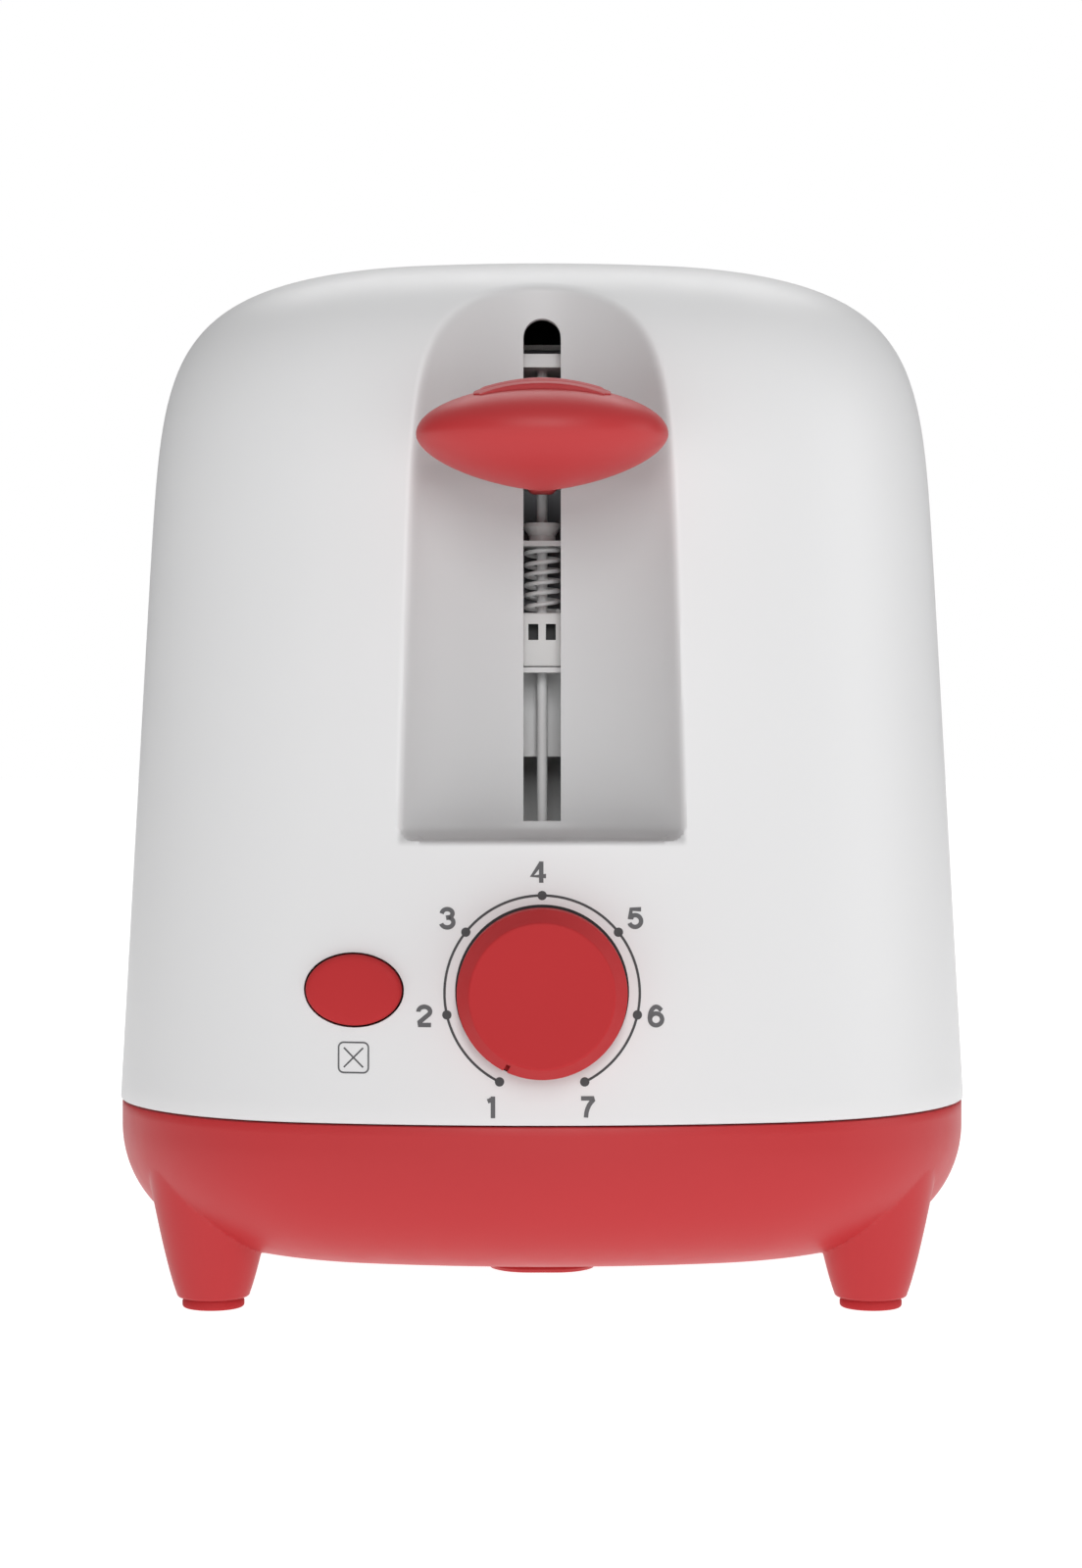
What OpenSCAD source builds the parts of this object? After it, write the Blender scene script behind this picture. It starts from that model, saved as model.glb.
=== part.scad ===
// Two-slice pop-up toaster: moulded shell on a footed base, sprung bread carriage,
// browning knob, cancel button and rear crumb tray. Front is -Y, top is +Z, feet stand on z = 0.

/* [Body] */
// Overall height, feet to crown
body_h = 201; // [190:1:215]
// Width of the shell at the seam
body_w = 166; // [160:1:176]
// Length of the shell at the seam, front to rear
body_l = 285; // [280:1:300]
// Radius of the four plan corners
corner_r = 50; // [44:1:56]
// Radius of the bowed front and rear faces
face_r = 192; // [170:1:240]
// Wall thickness of the mouldings
wall = 2.5; // [2:0.1:3]
// Height of the seam between base and shell
seam_z = 38.2; // [37:0.1:40]
// Inward lean of the walls for each mm of height
draft = 0.0543; // [0.03:0.0005:0.06]
// Height at which the walls start to curve into the crown
crown_z = 106; // [96:1:112]

/* [Base] */
// Height of the flat underside
base_z = 9.2; // [8.5:0.1:11]
// Radius that rounds the base into its underside
base_round = 24; // [22:1:27]
// Leg centre from the middle plane
leg_x = 62.2; // [58:0.1:63]
// Leg centre from the front or rear face
leg_inset = 34; // [32:1:40]
// Height of a rubber foot
foot_h = 2; // [1.8:0.1:2.6]
// Radius of a rubber foot
foot_r = 5.85; // [5:0.05:6.2]

/* [Lever recess] */
// Radius of the scooped recess
scoop_r = 29; // [27:0.5:31]
// Distance of the scoop axis in front of the seam face
scoop_out = 9; // [7:0.5:11]
// Height of the recess floor
scoop_z = 89; // [87:1:91]
// Fillet between recess floor and wall
scoop_fillet = 3; // [1:0.5:5]
// Half width of the lever slot
slot_half = 3.45; // [3.3:0.05:4]
// Bottom of the lever slot
slot_z0 = 92.2; // [91:0.1:93]
// Top of the lever slot
slot_z1 = 184.8; // [184:0.1:187]

/* [Controls] */
// Middle height of the lever
lever_z = 161.1; // [160:0.1:161.3]
// Half width of the lever saucer
lever_half = 22.3; // [20:0.1:24]
// Reach of the lever tip in front of the seam face
lever_reach = 20; // [18:0.5:22]
// Height of the knob axis
knob_z = 62; // [60:0.5:64]
// Knob radius at the panel
knob_r = 15.5; // [14:0.1:16.5]
// Button centre from the middle plane
button_x = 33.9; // [33:0.1:36]
// Button centre height
button_z = 62.2; // [61:0.1:64]
// Button width
button_w = 17.5; // [15:0.1:18]
// Button height
button_h = 12.8; // [11:0.1:14]
// Gap all round the button
button_gap = 0.35; // [0.25:0.05:0.6]

/* [Toasting wells] */
// Slot centre from the middle plane
well_x = 24; // [24:0.5:25]
// Bread slot width
well_w = 30; // [28:1:30]
// Bread slot length
well_l = 150; // [140:1:154]
// Height of the bread rest when the carriage is up
rack_z = 112; // [108:1:114]
// Distance of the chassis end plates from the middle
plate_y = 80; // [79:1:82]

/* [Mechanism] */
// Guide rod radius
rod_r = 1; // [0.9:0.1:1.2]
// Running clearance on the guide rod
rod_fit = 0.07; // [0.03:0.01:0.1]
// Guide rod distance in front of the middle
rod_y = 108; // [107:0.5:109]
// Sheet metal thickness
sheet = 1; // [0.8:0.1:1.2]

/* [Hidden] */
$fn = 48;
eps = 0.01;

half_w = body_w / 2;
half_l = body_l / 2;
// The tray handle stands this far behind the rear face.
handle_out = 4;
// Everything is drawn about the middle of the shell, then shifted so that the whole part,
// lever tip to tray handle, is centred on the origin.
shift_y = (lever_reach - handle_out) / 2;

// --- Plan outline: side arcs of very large radius, corner arcs and bowed end faces ---
side_r = 3350;
// Corner arc centre, tangent inside both the side arc and the face arc.
side_cx = half_w - side_r;
face_cy = half_l - face_r;
cc_d = norm([side_cx, face_cy]);
cc_a = side_r - corner_r;
cc_b = face_r - corner_r;
cc_l = (cc_b * cc_b - cc_a * cc_a + cc_d * cc_d) / (2 * cc_d);
cc_h = sqrt(cc_b * cc_b - cc_l * cc_l);
cc_ux = side_cx / cc_d;
cc_uy = -face_cy / cc_d;
corner_c = [cc_ux * cc_l + cc_uy * cc_h, face_cy + cc_uy * cc_l - cc_ux * cc_h];
corner_a0 = asin(corner_c[1] / cc_a);
corner_a1 = acos(corner_c[0] / cc_b);
corner_steps = 9;
face_steps = 3;

// Outline point in the first quarter at normal angle t.
function plan_point(t) =
    t < corner_a0 ? [side_cx + side_r * cos(t), side_r * sin(t)]
    : t < corner_a1 ? corner_c + corner_r * [cos(t), sin(t)]
    : [face_r * cos(t), face_cy + face_r * sin(t)];
quarter_angles = concat(
    [corner_a0 / 2],
    [for (i = [0:corner_steps]) corner_a0 + (corner_a1 - corner_a0) * i / corner_steps],
    [for (i = [1:face_steps - 1]) corner_a1 + (90 - corner_a1) * i / face_steps]);
// The points between the side's middle and the end face's middle.
quarter = [for (t = quarter_angles) plan_point(t + eps)];
last = len(quarter) - 1;
outline = concat(
    [[half_w, 0]],
    quarter,
    [[0, half_l]],
    [for (i = [last:-1:0]) [-quarter[i][0], quarter[i][1]]],
    [[-half_w, 0]],
    -quarter,
    [[0, -half_l]],
    [for (i = [last:-1:0]) [quarter[i][0], -quarter[i][1]]]);

// A ring of the outline, drawn in by inset at height z. The length shrinks like the width at
// first and closes with it at the crown.
function ring_points(inset, z) =
    let (k = inset / half_w)
    let (sx = 1 - k)
    let (sy = 1 - inset * (1 + (half_l / half_w - 1) * k * k) / half_l)
    [for (p = outline) [p[0] * sx, p[1] * sy, z]];

// Crown profile: a superellipse stepped by angle, with steps close where it curves.
crown_pow = 7.8;
side_pow = 3.3;
crown_angles = [2, 5, 9, 14, 20, 27, 35, 44, 54, 64, 74, 82, 87.5];
function crown_level(a, thick) =
    let (z = crown_z + (body_h - crown_z - thick) * pow(sin(a), 2 / crown_pow))
    let (w = (half_w - thick - draft * (z - seam_z)) * pow(cos(a), 2 / side_pow))
    [half_w - w, z];
// Inset and height of each ring of the shell, drawn in by thick.
function shell_levels(z0, thick) = concat(
    [[thick + draft * (z0 - seam_z), z0], [thick + draft * (crown_z - seam_z), crown_z]],
    [for (a = crown_angles) crown_level(a, thick)]);
function base_levels(thick) =
    let (r = base_round - thick)
    concat([for (a = [90:-15:0]) [base_lip + thick + r * (1 - cos(a)), base_top - r * sin(a)]],
        [[base_lip + thick, seam_z - 0.3 + (thick > 0 ? 1 : 0)]]);
base_lip = 0.3;
base_top = base_z + base_round;

// Closed solid through a stack of rings of the same number of points.
module skin(rings) {
    n = len(rings[0]);
    m = len(rings);
    points = [for (r = rings) each r];
    walls = [for (j = [0:m - 2]) for (i = [0:n - 1])
        let (a = j * n + i, b = j * n + (i + 1) % n)
        each [[a, a + n, b], [b, a + n, b + n]]];
    floor_face = [for (i = [0:n - 1]) i];
    roof_face = [for (i = [n - 1:-1:0]) (m - 1) * n + i];
    polyhedron(points, concat([floor_face], walls, [roof_face]), convexity = 8);
}

// Solid of the body outline through a list of [inset, z] levels.
module loft(levels) {
    skin([for (l = levels) ring_points(l[0], l[1])]);
}

module place() {
    translate([0, shift_y, 0]) children();
}

module box(x0, x1, y0, y1, z0, z1) {
    translate([x0, y0, z0]) cube([x1 - x0, y1 - y0, z1 - z0]);
}

// Rod along Y from y0 to y1.
module rod_y_axis(x, z, r, y0, y1) {
    translate([x, y0, z]) rotate([-90, 0, 0]) cylinder(r = r, h = y1 - y0);
}

module at_corners(x, y) {
    for (sx = [-1, 1])
        for (sy = [-1, 1])
            translate([sx * x, sy * y, 0]) children();
}

// --- Shell ---
scoop_y = half_l + scoop_out;
boss_x = 66;
boss_y = 80;
boss_top = 75;
well_round = 6;
board_y = 120;
board_t = 1.6;
board_x0 = -48;
board_x1 = 24;
board_z0 = 44;
board_z1 = 84;
board_holes = [[-44, 48], [-44, 80], [20, 48]];
gland_x = 28;
gland_z = 54;
gland_hole = 7;

// Vertical cylinder of the recess, with a filleted foot.
module scoop(grow) {
    r = scoop_r + grow;
    f = scoop_fillet + grow;
    arc = [for (a = [270:15:360]) [r - f + f * cos(a), scoop_z - grow + f + f * sin(a)]];
    translate([0, -scoop_y, 0])
        rotate_extrude($fn = 72)
            polygon(concat([[0, scoop_z - grow]], arc, [[r, body_h + 20], [0, body_h + 20]]));
}

module bread_slot_cut(grow, z0, z1) {
    for (s = [-1, 1])
        translate([s * well_x, 0, z0])
            linear_extrude(z1 - z0)
                rounded_rect(well_w + 2 * grow, well_l + 2 * grow, well_round + grow);
}

module rounded_rect(w, l, r) {
    square([w - 2 * r, l], center = true);
    square([w, l - 2 * r], center = true);
    for (sx = [-1, 1])
        for (sy = [-1, 1])
            translate([sx * (w / 2 - r), sy * (l / 2 - r)]) circle(r = r);
}

module ellipse_prism(w, h, y0, y1) {
    steps = 40;
    translate([0, y1, 0])
        rotate([90, 0, 0])
            linear_extrude(y1 - y0)
                polygon([for (i = [0:steps - 1]) [w / 2 * cos(360 * i / steps), h / 2 * sin(360 * i / steps)]]);
}

module shell_cavity() {
    difference() {
        loft(shell_levels(seam_z - 2, wall));
        scoop(wall);
        bread_slot_cut(2, 187, body_h);
        at_corners(boss_x, boss_y) translate([0, 0, seam_z + 1.5]) cylinder(r = 4.5, h = boss_top - seam_z);
        for (sx = [-1, 1])
            for (sy = [-1, 1])
                box(sx > 0 ? boss_x : -half_w, sx > 0 ? half_w : -boss_x,
                    sy * boss_y - 1.2, sy * boss_y + 1.2, seam_z + 1.5, boss_top - 2);
        for (h = board_holes) rod_y_axis(h[0], h[1], 3, -half_l, -board_y);
    }
}

module housing_shell() {
    place() color("white") difference() {
        loft(shell_levels(seam_z, 0));
        shell_cavity();
        scoop(0);
        box(-slot_half, slot_half, -scoop_y, -scoop_y + scoop_r + 2 * wall, slot_z0, slot_z1 - slot_half);
        rod_y_axis(0, slot_z1 - slot_half, slot_half, -scoop_y, -scoop_y + scoop_r + 2 * wall);
        rod_y_axis(0, knob_z, 5, -half_l - 1, -half_l + 8);
        translate([-button_x, 0, button_z])
            ellipse_prism(button_w + 2 * button_gap, button_h + 2 * button_gap, -half_l - 1, -half_l + 12);
        bread_slot_cut(0, 180, body_h + 5);
        at_corners(boss_x, boss_y) translate([0, 0, seam_z]) cylinder(r = 1.6, h = 30);
        for (h = board_holes) rod_y_axis(h[0], h[1], 1.1, -board_y - 12, -board_y + 1);
        rod_y_axis(gland_x, gland_z, gland_hole, half_l - 12, half_l + 1);
    }
}

// --- Base, legs, feet ---
leg_y = half_l - leg_inset;
leg_foot_r = 6.2;
tray_x = 54;
tray_z0 = 22;
tray_gap = 0.5;
rail_top = 36;
cleat_y = half_l - 50;

// Slim at the foot and flared into the base.
function leg_radius(z) = leg_foot_r + 4.9 * pow((z - 1.2) / 18.4, 0.75);
module leg_profile() {
    steps = 8;
    top = 26;
    side = [for (i = [0:steps])
        let (z = foot_h + 0.6 + (top - foot_h - 0.6) * i / steps)
        [leg_radius(z), z]];
    polygon(concat([[0, foot_h], [leg_foot_r, foot_h]], side, [[0, top]]));
}

module cleat() {
    // Flat tongue on a neck: the cord is wound round the necks.
    box(-4, 4, -3, 3, 6.6, base_z + 1);
    translate([0, 0, 4.8])
        linear_extrude(1.8)
            rounded_rect(21, 16, 7.9);
}

module base() {
    place() color([0.72, 0.2, 0.22]) {
        difference() {
            union() {
                loft(base_levels(0));
                at_corners(leg_x, leg_y) rotate_extrude() leg_profile();
                for (s = [-1, 1]) translate([0, s * cleat_y, 0]) cleat();
            }
            difference() {
                loft(base_levels(wall));
                at_corners(leg_x, leg_y) cylinder(r = 6, h = 24);
                at_corners(boss_x, boss_y) cylinder(r = 5, h = seam_z + 1.5);
                for (s = [-1, 1])
                    box(s > 0 ? tray_x + 2 : -tray_x - 4, s > 0 ? tray_x + 4 : -tray_x - 2,
                        -plate_y - 5, plate_y + 5, base_z, rail_top);
            }
            at_corners(leg_x, leg_y) translate([0, 0, foot_h - 1]) cylinder(r = 2.2, h = 7);
            at_corners(boss_x, boss_y) cylinder(r = 1.9, h = 60);
            at_corners(boss_x, boss_y) cylinder(r = 3.7, h = 22);
            box(-tray_x - tray_gap, tray_x + tray_gap, 100, half_l + 5, tray_z0 - 2, rail_top);
            for (i = [-3:3])
                for (s = [-1, 1])
                    box(s * 24 - 14, s * 24 + 14, 14 * i - 1.5, 14 * i + 1.5, base_z - 1, base_z + wall + 1);
        }
    }
}

module foot(sx, sy) {
    place() color([0.6, 0.15, 0.17]) translate([sx * leg_x, sy * leg_y, 0]) rotate_extrude()
        polygon(concat([[0, 0], [foot_r - 0.8, 0]],
            [for (a = [-60:30:0]) [foot_r - 0.8 + 0.8 * cos(a), 0.8 + 0.8 * sin(a)]],
            [[foot_r, foot_h], [2.15, foot_h], [2.15, foot_h + 5], [0, foot_h + 5]]));
}
module foot_front_left() {
    foot(-1, -1);
}
module foot_front_right() {
    foot(1, -1);
}
module foot_rear_left() {
    foot(-1, 1);
}
module foot_rear_right() {
    foot(1, 1);
}

// Pan-head screw pointing up, head bottom at the origin.
module screw_up(r, head_r, head_h, h) {
    difference() {
        union() {
            cylinder(r = head_r, h = head_h);
            cylinder(r = r, h = h);
        }
        translate([0, 0, -eps]) {
            box(-head_r * 0.6, head_r * 0.6, -0.4, 0.4, 0, head_h * 0.5);
            box(-0.4, 0.4, -head_r * 0.6, head_r * 0.6, 0, head_h * 0.5);
        }
    }
}

module base_screws() {
    place() color("silver") at_corners(boss_x, boss_y)
        translate([0, 0, 22 - 2.2]) screw_up(1.6, 3.3, 2.2, 36);
}

// --- Lever and carriage ---
lever_cy = half_l + 4.5;
lever_depth = lever_reach - 4.5;
stem_half = 2.9;
stem_z0 = lever_z - 8.3;
stem_z1 = lever_z + 3;
tongue_y = 117;
pad_half = 12;

// Plan ring of the saucer, k of full size at height z: bowed in front, flatter behind.
lever_back = 11.5;
lever_points = 32;
function lever_ring(k, z) = [for (i = [0:lever_points - 1])
    let (a = 360 * i / lever_points)
    [lever_half * k * sign(cos(a)) * pow(abs(cos(a)), 0.88),
        (sin(a) < 0 ? lever_depth : lever_back) * k * sin(a) - lever_cy, lever_z + z]];

// Saucer: rounded rim, fuller above than below. lift raises the whole of it.
lever_high = 8.9;
lever_low = 9.9;
function lever_size(u) = pow(1 - pow(abs(u), u < 0 ? 1.85 : 2.1), u < 0 ? 0.75 : 0.6);
module saucer(lift) {
    skin([for (a = [-80:16:80])
        lever_ring(lever_size(sin(a)), (a < 0 ? lever_low : lever_high) * sin(a) + lift)]);
}

module lever() {
    place() color([0.75, 0.2, 0.22]) difference() {
        union() {
            saucer(0);
            box(-stem_half, stem_half, -lever_cy, -tongue_y, stem_z0, stem_z1);
        }
        // Socket for the steel tongue of the carriage.
        box(-0.8, 0.8, -lever_cy + 10, -tongue_y + 1, stem_z0 + 2, stem_z0 + 8);
    }
}

// Finger pad that follows the top of the saucer, with cross ribs.
module lever_grip_pad() {
    pad_t = 0.8;
    rib_t = 0.3;
    place() color([0.7, 0.16, 0.19]) difference() {
        union() {
            intersection() {
                saucer(pad_t);
                translate([0, -lever_cy - 1, lever_z]) linear_extrude(20) rounded_rect(2 * pad_half, 14, 3);
            }
            intersection() {
                saucer(pad_t + rib_t);
                for (i = [-4:4])
                    translate([0, -lever_cy - 1 + i * 1.3, 0])
                        box(-pad_half + 2.5, pad_half - 2.5, -0.3, 0.3, lever_z, lever_z + 20);
            }
        }
        saucer(0);
    }
}

carriage_y = rod_y - 7;
carriage_z0 = rack_z - 8;
arm_half = 14;
block_z0 = 121;
block_z1 = 131;
bush_z0 = 144.5;
bush_z1 = 148;
magnet_top = 60.3;
carriage_drop = 57;
armature_z = magnet_top + 0.2 + carriage_drop;

spring_x = 18.5;
spring_y = 94;
spring_lug = 130;
module carriage_bracket() {
    t = 1.5;
    place() color("gainsboro") difference() {
        union() {
            // Cross plate that carries both bread racks.
            box(-30, 30, -carriage_y - t, -carriage_y, carriage_z0, block_z1);
            // Fork arms up to the lever tongue.
            for (s = [-1, 1])
                box(s > 0 ? 7 : -arm_half, s > 0 ? arm_half : -7, -carriage_y - t, -carriage_y,
                    block_z0, stem_z0 + 8);
            box(-arm_half, arm_half, -carriage_y - t, -carriage_y, stem_z0 + 2, stem_z0 + 8);
            box(-0.75, 0.75, -lever_cy + 10.5, -rod_y - 3.6, stem_z0 + 2, stem_z0 + 8);
            // Loop of the tongue round the guide rod.
            for (s = [-1, 1])
                box(s > 0 ? 2.4 : -3.9, s > 0 ? 3.9 : -2.4, -rod_y - 3.6, -carriage_y,
                    stem_z0 + 2, stem_z0 + 8);
            box(-3.9, 3.9, -rod_y - 4.4, -rod_y - 3.6, stem_z0 + 2, stem_z0 + 8);
            // Tabs that hold the two bushes.
            for (z = [bush_z0 - 1, block_z0 - 1.2])
                box(-7.5, 7.5, -rod_y - 5, -carriage_y, z, z + 1);
            for (s = [-1, 1])
                box(s > 0 ? 5.5 : -7.5, s > 0 ? 7.5 : -5.5, -carriage_y - t - 2, -carriage_y,
                    block_z0 - 1.2, bush_z0);
            // Lug on top of the return spring.
            box(spring_x - 4, spring_x + 4, -carriage_y - t, -spring_y + 4, spring_lug, spring_lug + 1);
            // Shelf for the armature.
            box(-8, 8, -carriage_y, -carriage_y + 14, armature_z + 2.5, armature_z + 4);
        }
        translate([0, -rod_y, 100]) cylinder(r = 2.6, h = 60);
        translate([spring_x, -spring_y, spring_lug - 1]) cylinder(r = 1.9, h = 4);
    }
}

module upper_bush() {
    place() color("white") translate([0, -rod_y, 0]) difference() {
        rotate_extrude() polygon([[0, bush_z0], [2.5, bush_z0], [2.5, bush_z0 + 1.2], [3.6, bush_z1 - 0.8],
            [3.6, bush_z1], [0, bush_z1]]);
        translate([0, 0, bush_z0 - 1]) cylinder(r = rod_r + rod_fit, h = 10);
    }
}

module lower_bush() {
    place() color("white") translate([0, -rod_y, 0]) difference() {
        union() {
            box(-4.8, 4.8, -5, 4.8, block_z0, block_z1);
            translate([0, 0, block_z0 - 1.2]) cylinder(r = 2.5, h = 2);
        }
        translate([0, 0, block_z0 - 2]) cylinder(r = rod_r + rod_fit, h = 20);
        // Two moulding windows in the front face.
        for (s = [-1, 1])
            box(s * 1.75 - 0.9, s * 1.75 + 0.9, -6, -3, 125.5, 129);
    }
}

// Round wire wound on a vertical helix, closed with flat end caps.
module coil(coil_r, wire_r, z0, z1, turns, per_turn = 12, sides = 6) {
    steps = turns * per_turn;
    function wire_point(i, k) =
        let (a = 360 * i / per_turn)
        let (r = coil_r + wire_r * cos(360 * k / sides))
        [r * cos(a), r * sin(a), z0 + wire_r + (z1 - z0 - 2 * wire_r) * i / steps + wire_r * sin(360 * k / sides)];
    points = [for (i = [0:steps]) for (k = [0:sides - 1]) wire_point(i, k)];
    skin = [for (i = [0:steps - 1]) for (k = [0:sides - 1])
        let (a = i * sides + k, b = i * sides + (k + 1) % sides)
        each [[a, b, a + sides], [b, b + sides, a + sides]]];
    first_cap = [for (k = [sides - 1:-1:0]) k];
    last_cap = [for (k = [0:sides - 1]) steps * sides + k];
    polyhedron(points, concat([first_cap], skin, [last_cap]), convexity = 10);
}

module buffer_spring() {
    place() color("lightgray") translate([0, -rod_y, 0]) coil(2.7, 0.4, block_z1 + 0.05, bush_z0 - 1.05, 5);
}

module armature_plate() {
    place() color("gray") box(-8, 8, -carriage_y + 3, -carriage_y + 13, armature_z, armature_z + 2.5);
}

rack_pins = 7;
module bread_rack(s) {
    place() color("silver") {
        box(s * well_x - 1, s * well_x + 1, -carriage_y, plate_y + 4, rack_z - 8, rack_z - 2);
        for (i = [0:rack_pins - 1])
            translate([s * well_x - 10, -66 + 22 * i, rack_z - 2.8])
                rotate([0, 90, 0]) cylinder(r = 1.3, h = 20);
        // Long rails on which the bread stands.
        for (x = [-10, 10])
            rod_y_axis(s * well_x + x, rack_z - 1.3, 1.3, -68, 68);
    }
}
module bread_rack_left() {
    bread_rack(-1);
}
module bread_rack_right() {
    bread_rack(1);
}

bracket_z = 43.5;
upper_z = 176.8;
module guide_rod() {
    place() color("white") translate([0, -rod_y, bracket_z - 1.5])
        cylinder(r = rod_r, h = upper_z + 4.5 - bracket_z);
}

module rod_upper_bracket() {
    place() color("whitesmoke") difference() {
        union() {
            box(-10, 10, -rod_y - 6, -plate_y - sheet, upper_z, upper_z + 2.5);
            box(-10, 10, -plate_y - sheet - 1.5, -plate_y - sheet, upper_z - 12, upper_z + 2.5);
        }
        translate([0, -rod_y, upper_z - 5]) cylinder(r = rod_r, h = 10);
    }
}

module rod_lower_bracket() {
    place() color("whitesmoke") difference() {
        union() {
            box(-12, 24, -rod_y - 6, -plate_y - sheet, bracket_z, bracket_z + 1.5);
            box(-8, 8, -plate_y - sheet - 1.2, -plate_y - sheet, bracket_z, 120);
        }
        translate([0, -rod_y, bracket_z - 5]) cylinder(r = rod_r, h = 10);
        translate([spring_x, -spring_y, bracket_z - 5]) cylinder(r = rod_r, h = 10);
    }
}

// Post that keeps the return spring straight; the carriage lug slides down over it.
module spring_post() {
    place() color("silver") translate([spring_x, -spring_y, bracket_z - 1]) cylinder(r = rod_r, h = 70);
}

module return_spring() {
    place() color("lightgray") translate([spring_x, -spring_y, 0])
        coil(3, 0.5, bracket_z + 1.5, spring_lug, 14);
}

// --- Electromagnet and electronics ---
module magnet_core() {
    place() color("dimgray") {
        z = bracket_z + 1.5;
        box(-9, 9, -96, -88, z, z + 3);
        for (x = [-9, -2.5, 6])
            box(x, x + (x == -2.5 ? 5 : 3), -96, -88, z + 3 - eps, magnet_top);
    }
}

module magnet_coil() {
    place() color("chocolate") difference() {
        box(-5.9, 5.9, -99, -85, bracket_z + 4.7, magnet_top - 1.6);
        box(-2.6, 2.6, -96.1, -87.9, bracket_z, magnet_top);
    }
}

module mains_switch() {
    place() color("ivory") {
        box(13, 22, -board_y + board_t, -105, 52, 65);
        box(15, 20, -110, -106, 65, 68);
    }
}

module circuit_board() {
    place() color("darkgreen") difference() {
        box(board_x0, board_x1, -board_y, -board_y + board_t, board_z0, board_z1);
        for (h = board_holes) rod_y_axis(h[0], h[1], 1.3, -board_y - 1, -board_y + board_t + 1);
        rod_y_axis(0, knob_z, 4, -board_y - 1, -board_y + board_t + 1);
    }
}

module board_parts() {
    back = -board_y + board_t;
    place() color("dimgray") {
        for (p = [[-16, 75], [-26, 50]])
            rod_y_axis(p[0], p[1], 4, back, back + 9);
        box(-38, -30, back, back + 4, 70, 78);
        box(-40, -32, back, back + 3, 48, 56);
        box(6, 16, back, back + 2, 72, 78);
        for (i = [0:3])
            box(-20 + 5 * i, -17.5 + 5 * i, back, back + 1, 56, 57.5);
    }
}

module board_screws() {
    place() color("silver") for (h = board_holes)
        translate([h[0], -board_y + board_t + 1.8, h[1]]) rotate([90, 0, 0]) screw_up(1.05, 2.4, 1.8, 12);
}

pot_front = 133;
module potentiometer_body() {
    place() color("darkslategray") difference() {
        union() {
            rod_y_axis(0, knob_z, 9, -pot_front, -board_y);
            rod_y_axis(0, knob_z, 4.8, -pot_front - 6, -pot_front + eps);
        }
        rod_y_axis(0, knob_z, 3.07, -pot_front - 7, -board_y - 2);
    }
}

knob_base = 142.2;
knob_front = 151.2;
module potentiometer_shaft() {
    place() color("gainsboro") rod_y_axis(0, knob_z, 3, -knob_front + 4, -board_y - 2.5);
}

// Knob turned about Y, with its index notch at setting 1.
dial_half = 154.2;
module browning_knob() {
    place() color([0.74, 0.22, 0.24]) translate([0, 0, knob_z]) difference() {
        rotate([90, 0, 0]) rotate_extrude($fn = 96)
            polygon([[0, knob_base], [knob_r, knob_base], [knob_r, knob_base + 0.5],
                [knob_r - 1, knob_base + 4.6], [knob_r - 2.15, knob_front - 0.5],
                [knob_r - 2.6, knob_front], [0, knob_front]]);
        rod_y_axis(0, 0, 3.02, -knob_front + 3.9, -knob_base + 1);
        rotate([0, -dial_half, 0]) box(-0.4, 0.4, -knob_front - 1, -knob_front + 2.4, knob_r - 2.9, knob_r + 1);
    }
}

switch_face = 127;
module cancel_switch() {
    place() color("black") difference() {
        box(-button_x - 4, -button_x + 4, -switch_face, -board_y, button_z - 4, button_z + 4);
        rod_y_axis(-button_x, button_z, 1.8, -switch_face - 1, -board_y - 2);
    }
}

module switch_plunger() {
    place() color("ivory") rod_y_axis(-button_x, button_z, 1.7, -switch_face - 2, -board_y - 4.5);
}

button_front = 139.8;
module cancel_button() {
    place() color([0.74, 0.22, 0.24]) translate([-button_x, 0, button_z]) {
        ellipse_prism(button_w - 1.2, button_h - 1.2, -button_front, -button_front + 0.6);
        ellipse_prism(button_w, button_h, -button_front + 0.6 - eps, -button_front + 7);
        // Cross rib that presses the switch plunger.
        box(-1, 1, -button_front + 6.9, -switch_face - 2, -4, 4);
        box(-4, 4, -button_front + 6.9, -switch_face - 2, -1, 1);
    }
}

// --- Chassis ---
plate_x = 58;
plate_top = 184;
guide_off = 14;
guide_z0 = 50;
guide_z1 = 180;
guide_pin_r = 1.2;
mica_t = 0.8;
mica_in = 3.5;
mica_out = 45.5;
module end_plate(s, rack_z1) {
    place() color("lightgray") difference() {
        box(-plate_x, plate_x, s > 0 ? plate_y : -plate_y - sheet, s > 0 ? plate_y + sheet : -plate_y,
            rail_top, plate_top);
        for (x = [-well_x, well_x])
            box(x - 2.5, x + 2.5, s * plate_y - 3, s * plate_y + 3, rack_z - 8 - carriage_drop - 2, rack_z1);
        for (x = [-well_x, well_x])
            for (off = [-guide_off, guide_off])
                rod_y_axis(x + off, guide_z0, guide_pin_r + 0.07, s * plate_y - 3, s * plate_y + 3);
    }
}
module front_end_plate() {
    end_plate(-1, rack_z + 20);
}
module rear_end_plate() {
    end_plate(1, rack_z + 20);
}

module reflector(s) {
    place() color("silver") box(s > 0 ? plate_x - sheet : -plate_x, s > 0 ? plate_x : -plate_x + sheet,
        -plate_y, plate_y, 40, plate_top);
}
module left_reflector() {
    reflector(-1);
}
module right_reflector() {
    reflector(1);
}

module top_slot_frame() {
    place() color("silver") difference() {
        union() {
            box(-plate_x, plate_x, -plate_y - sheet, plate_y + sheet, plate_top, plate_top + sheet);
            bread_slot_cut(1.9, plate_top, plate_top + 2.9);
        }
        bread_slot_cut(0.8, plate_top - 1, plate_top + 5);
    }
}

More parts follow.
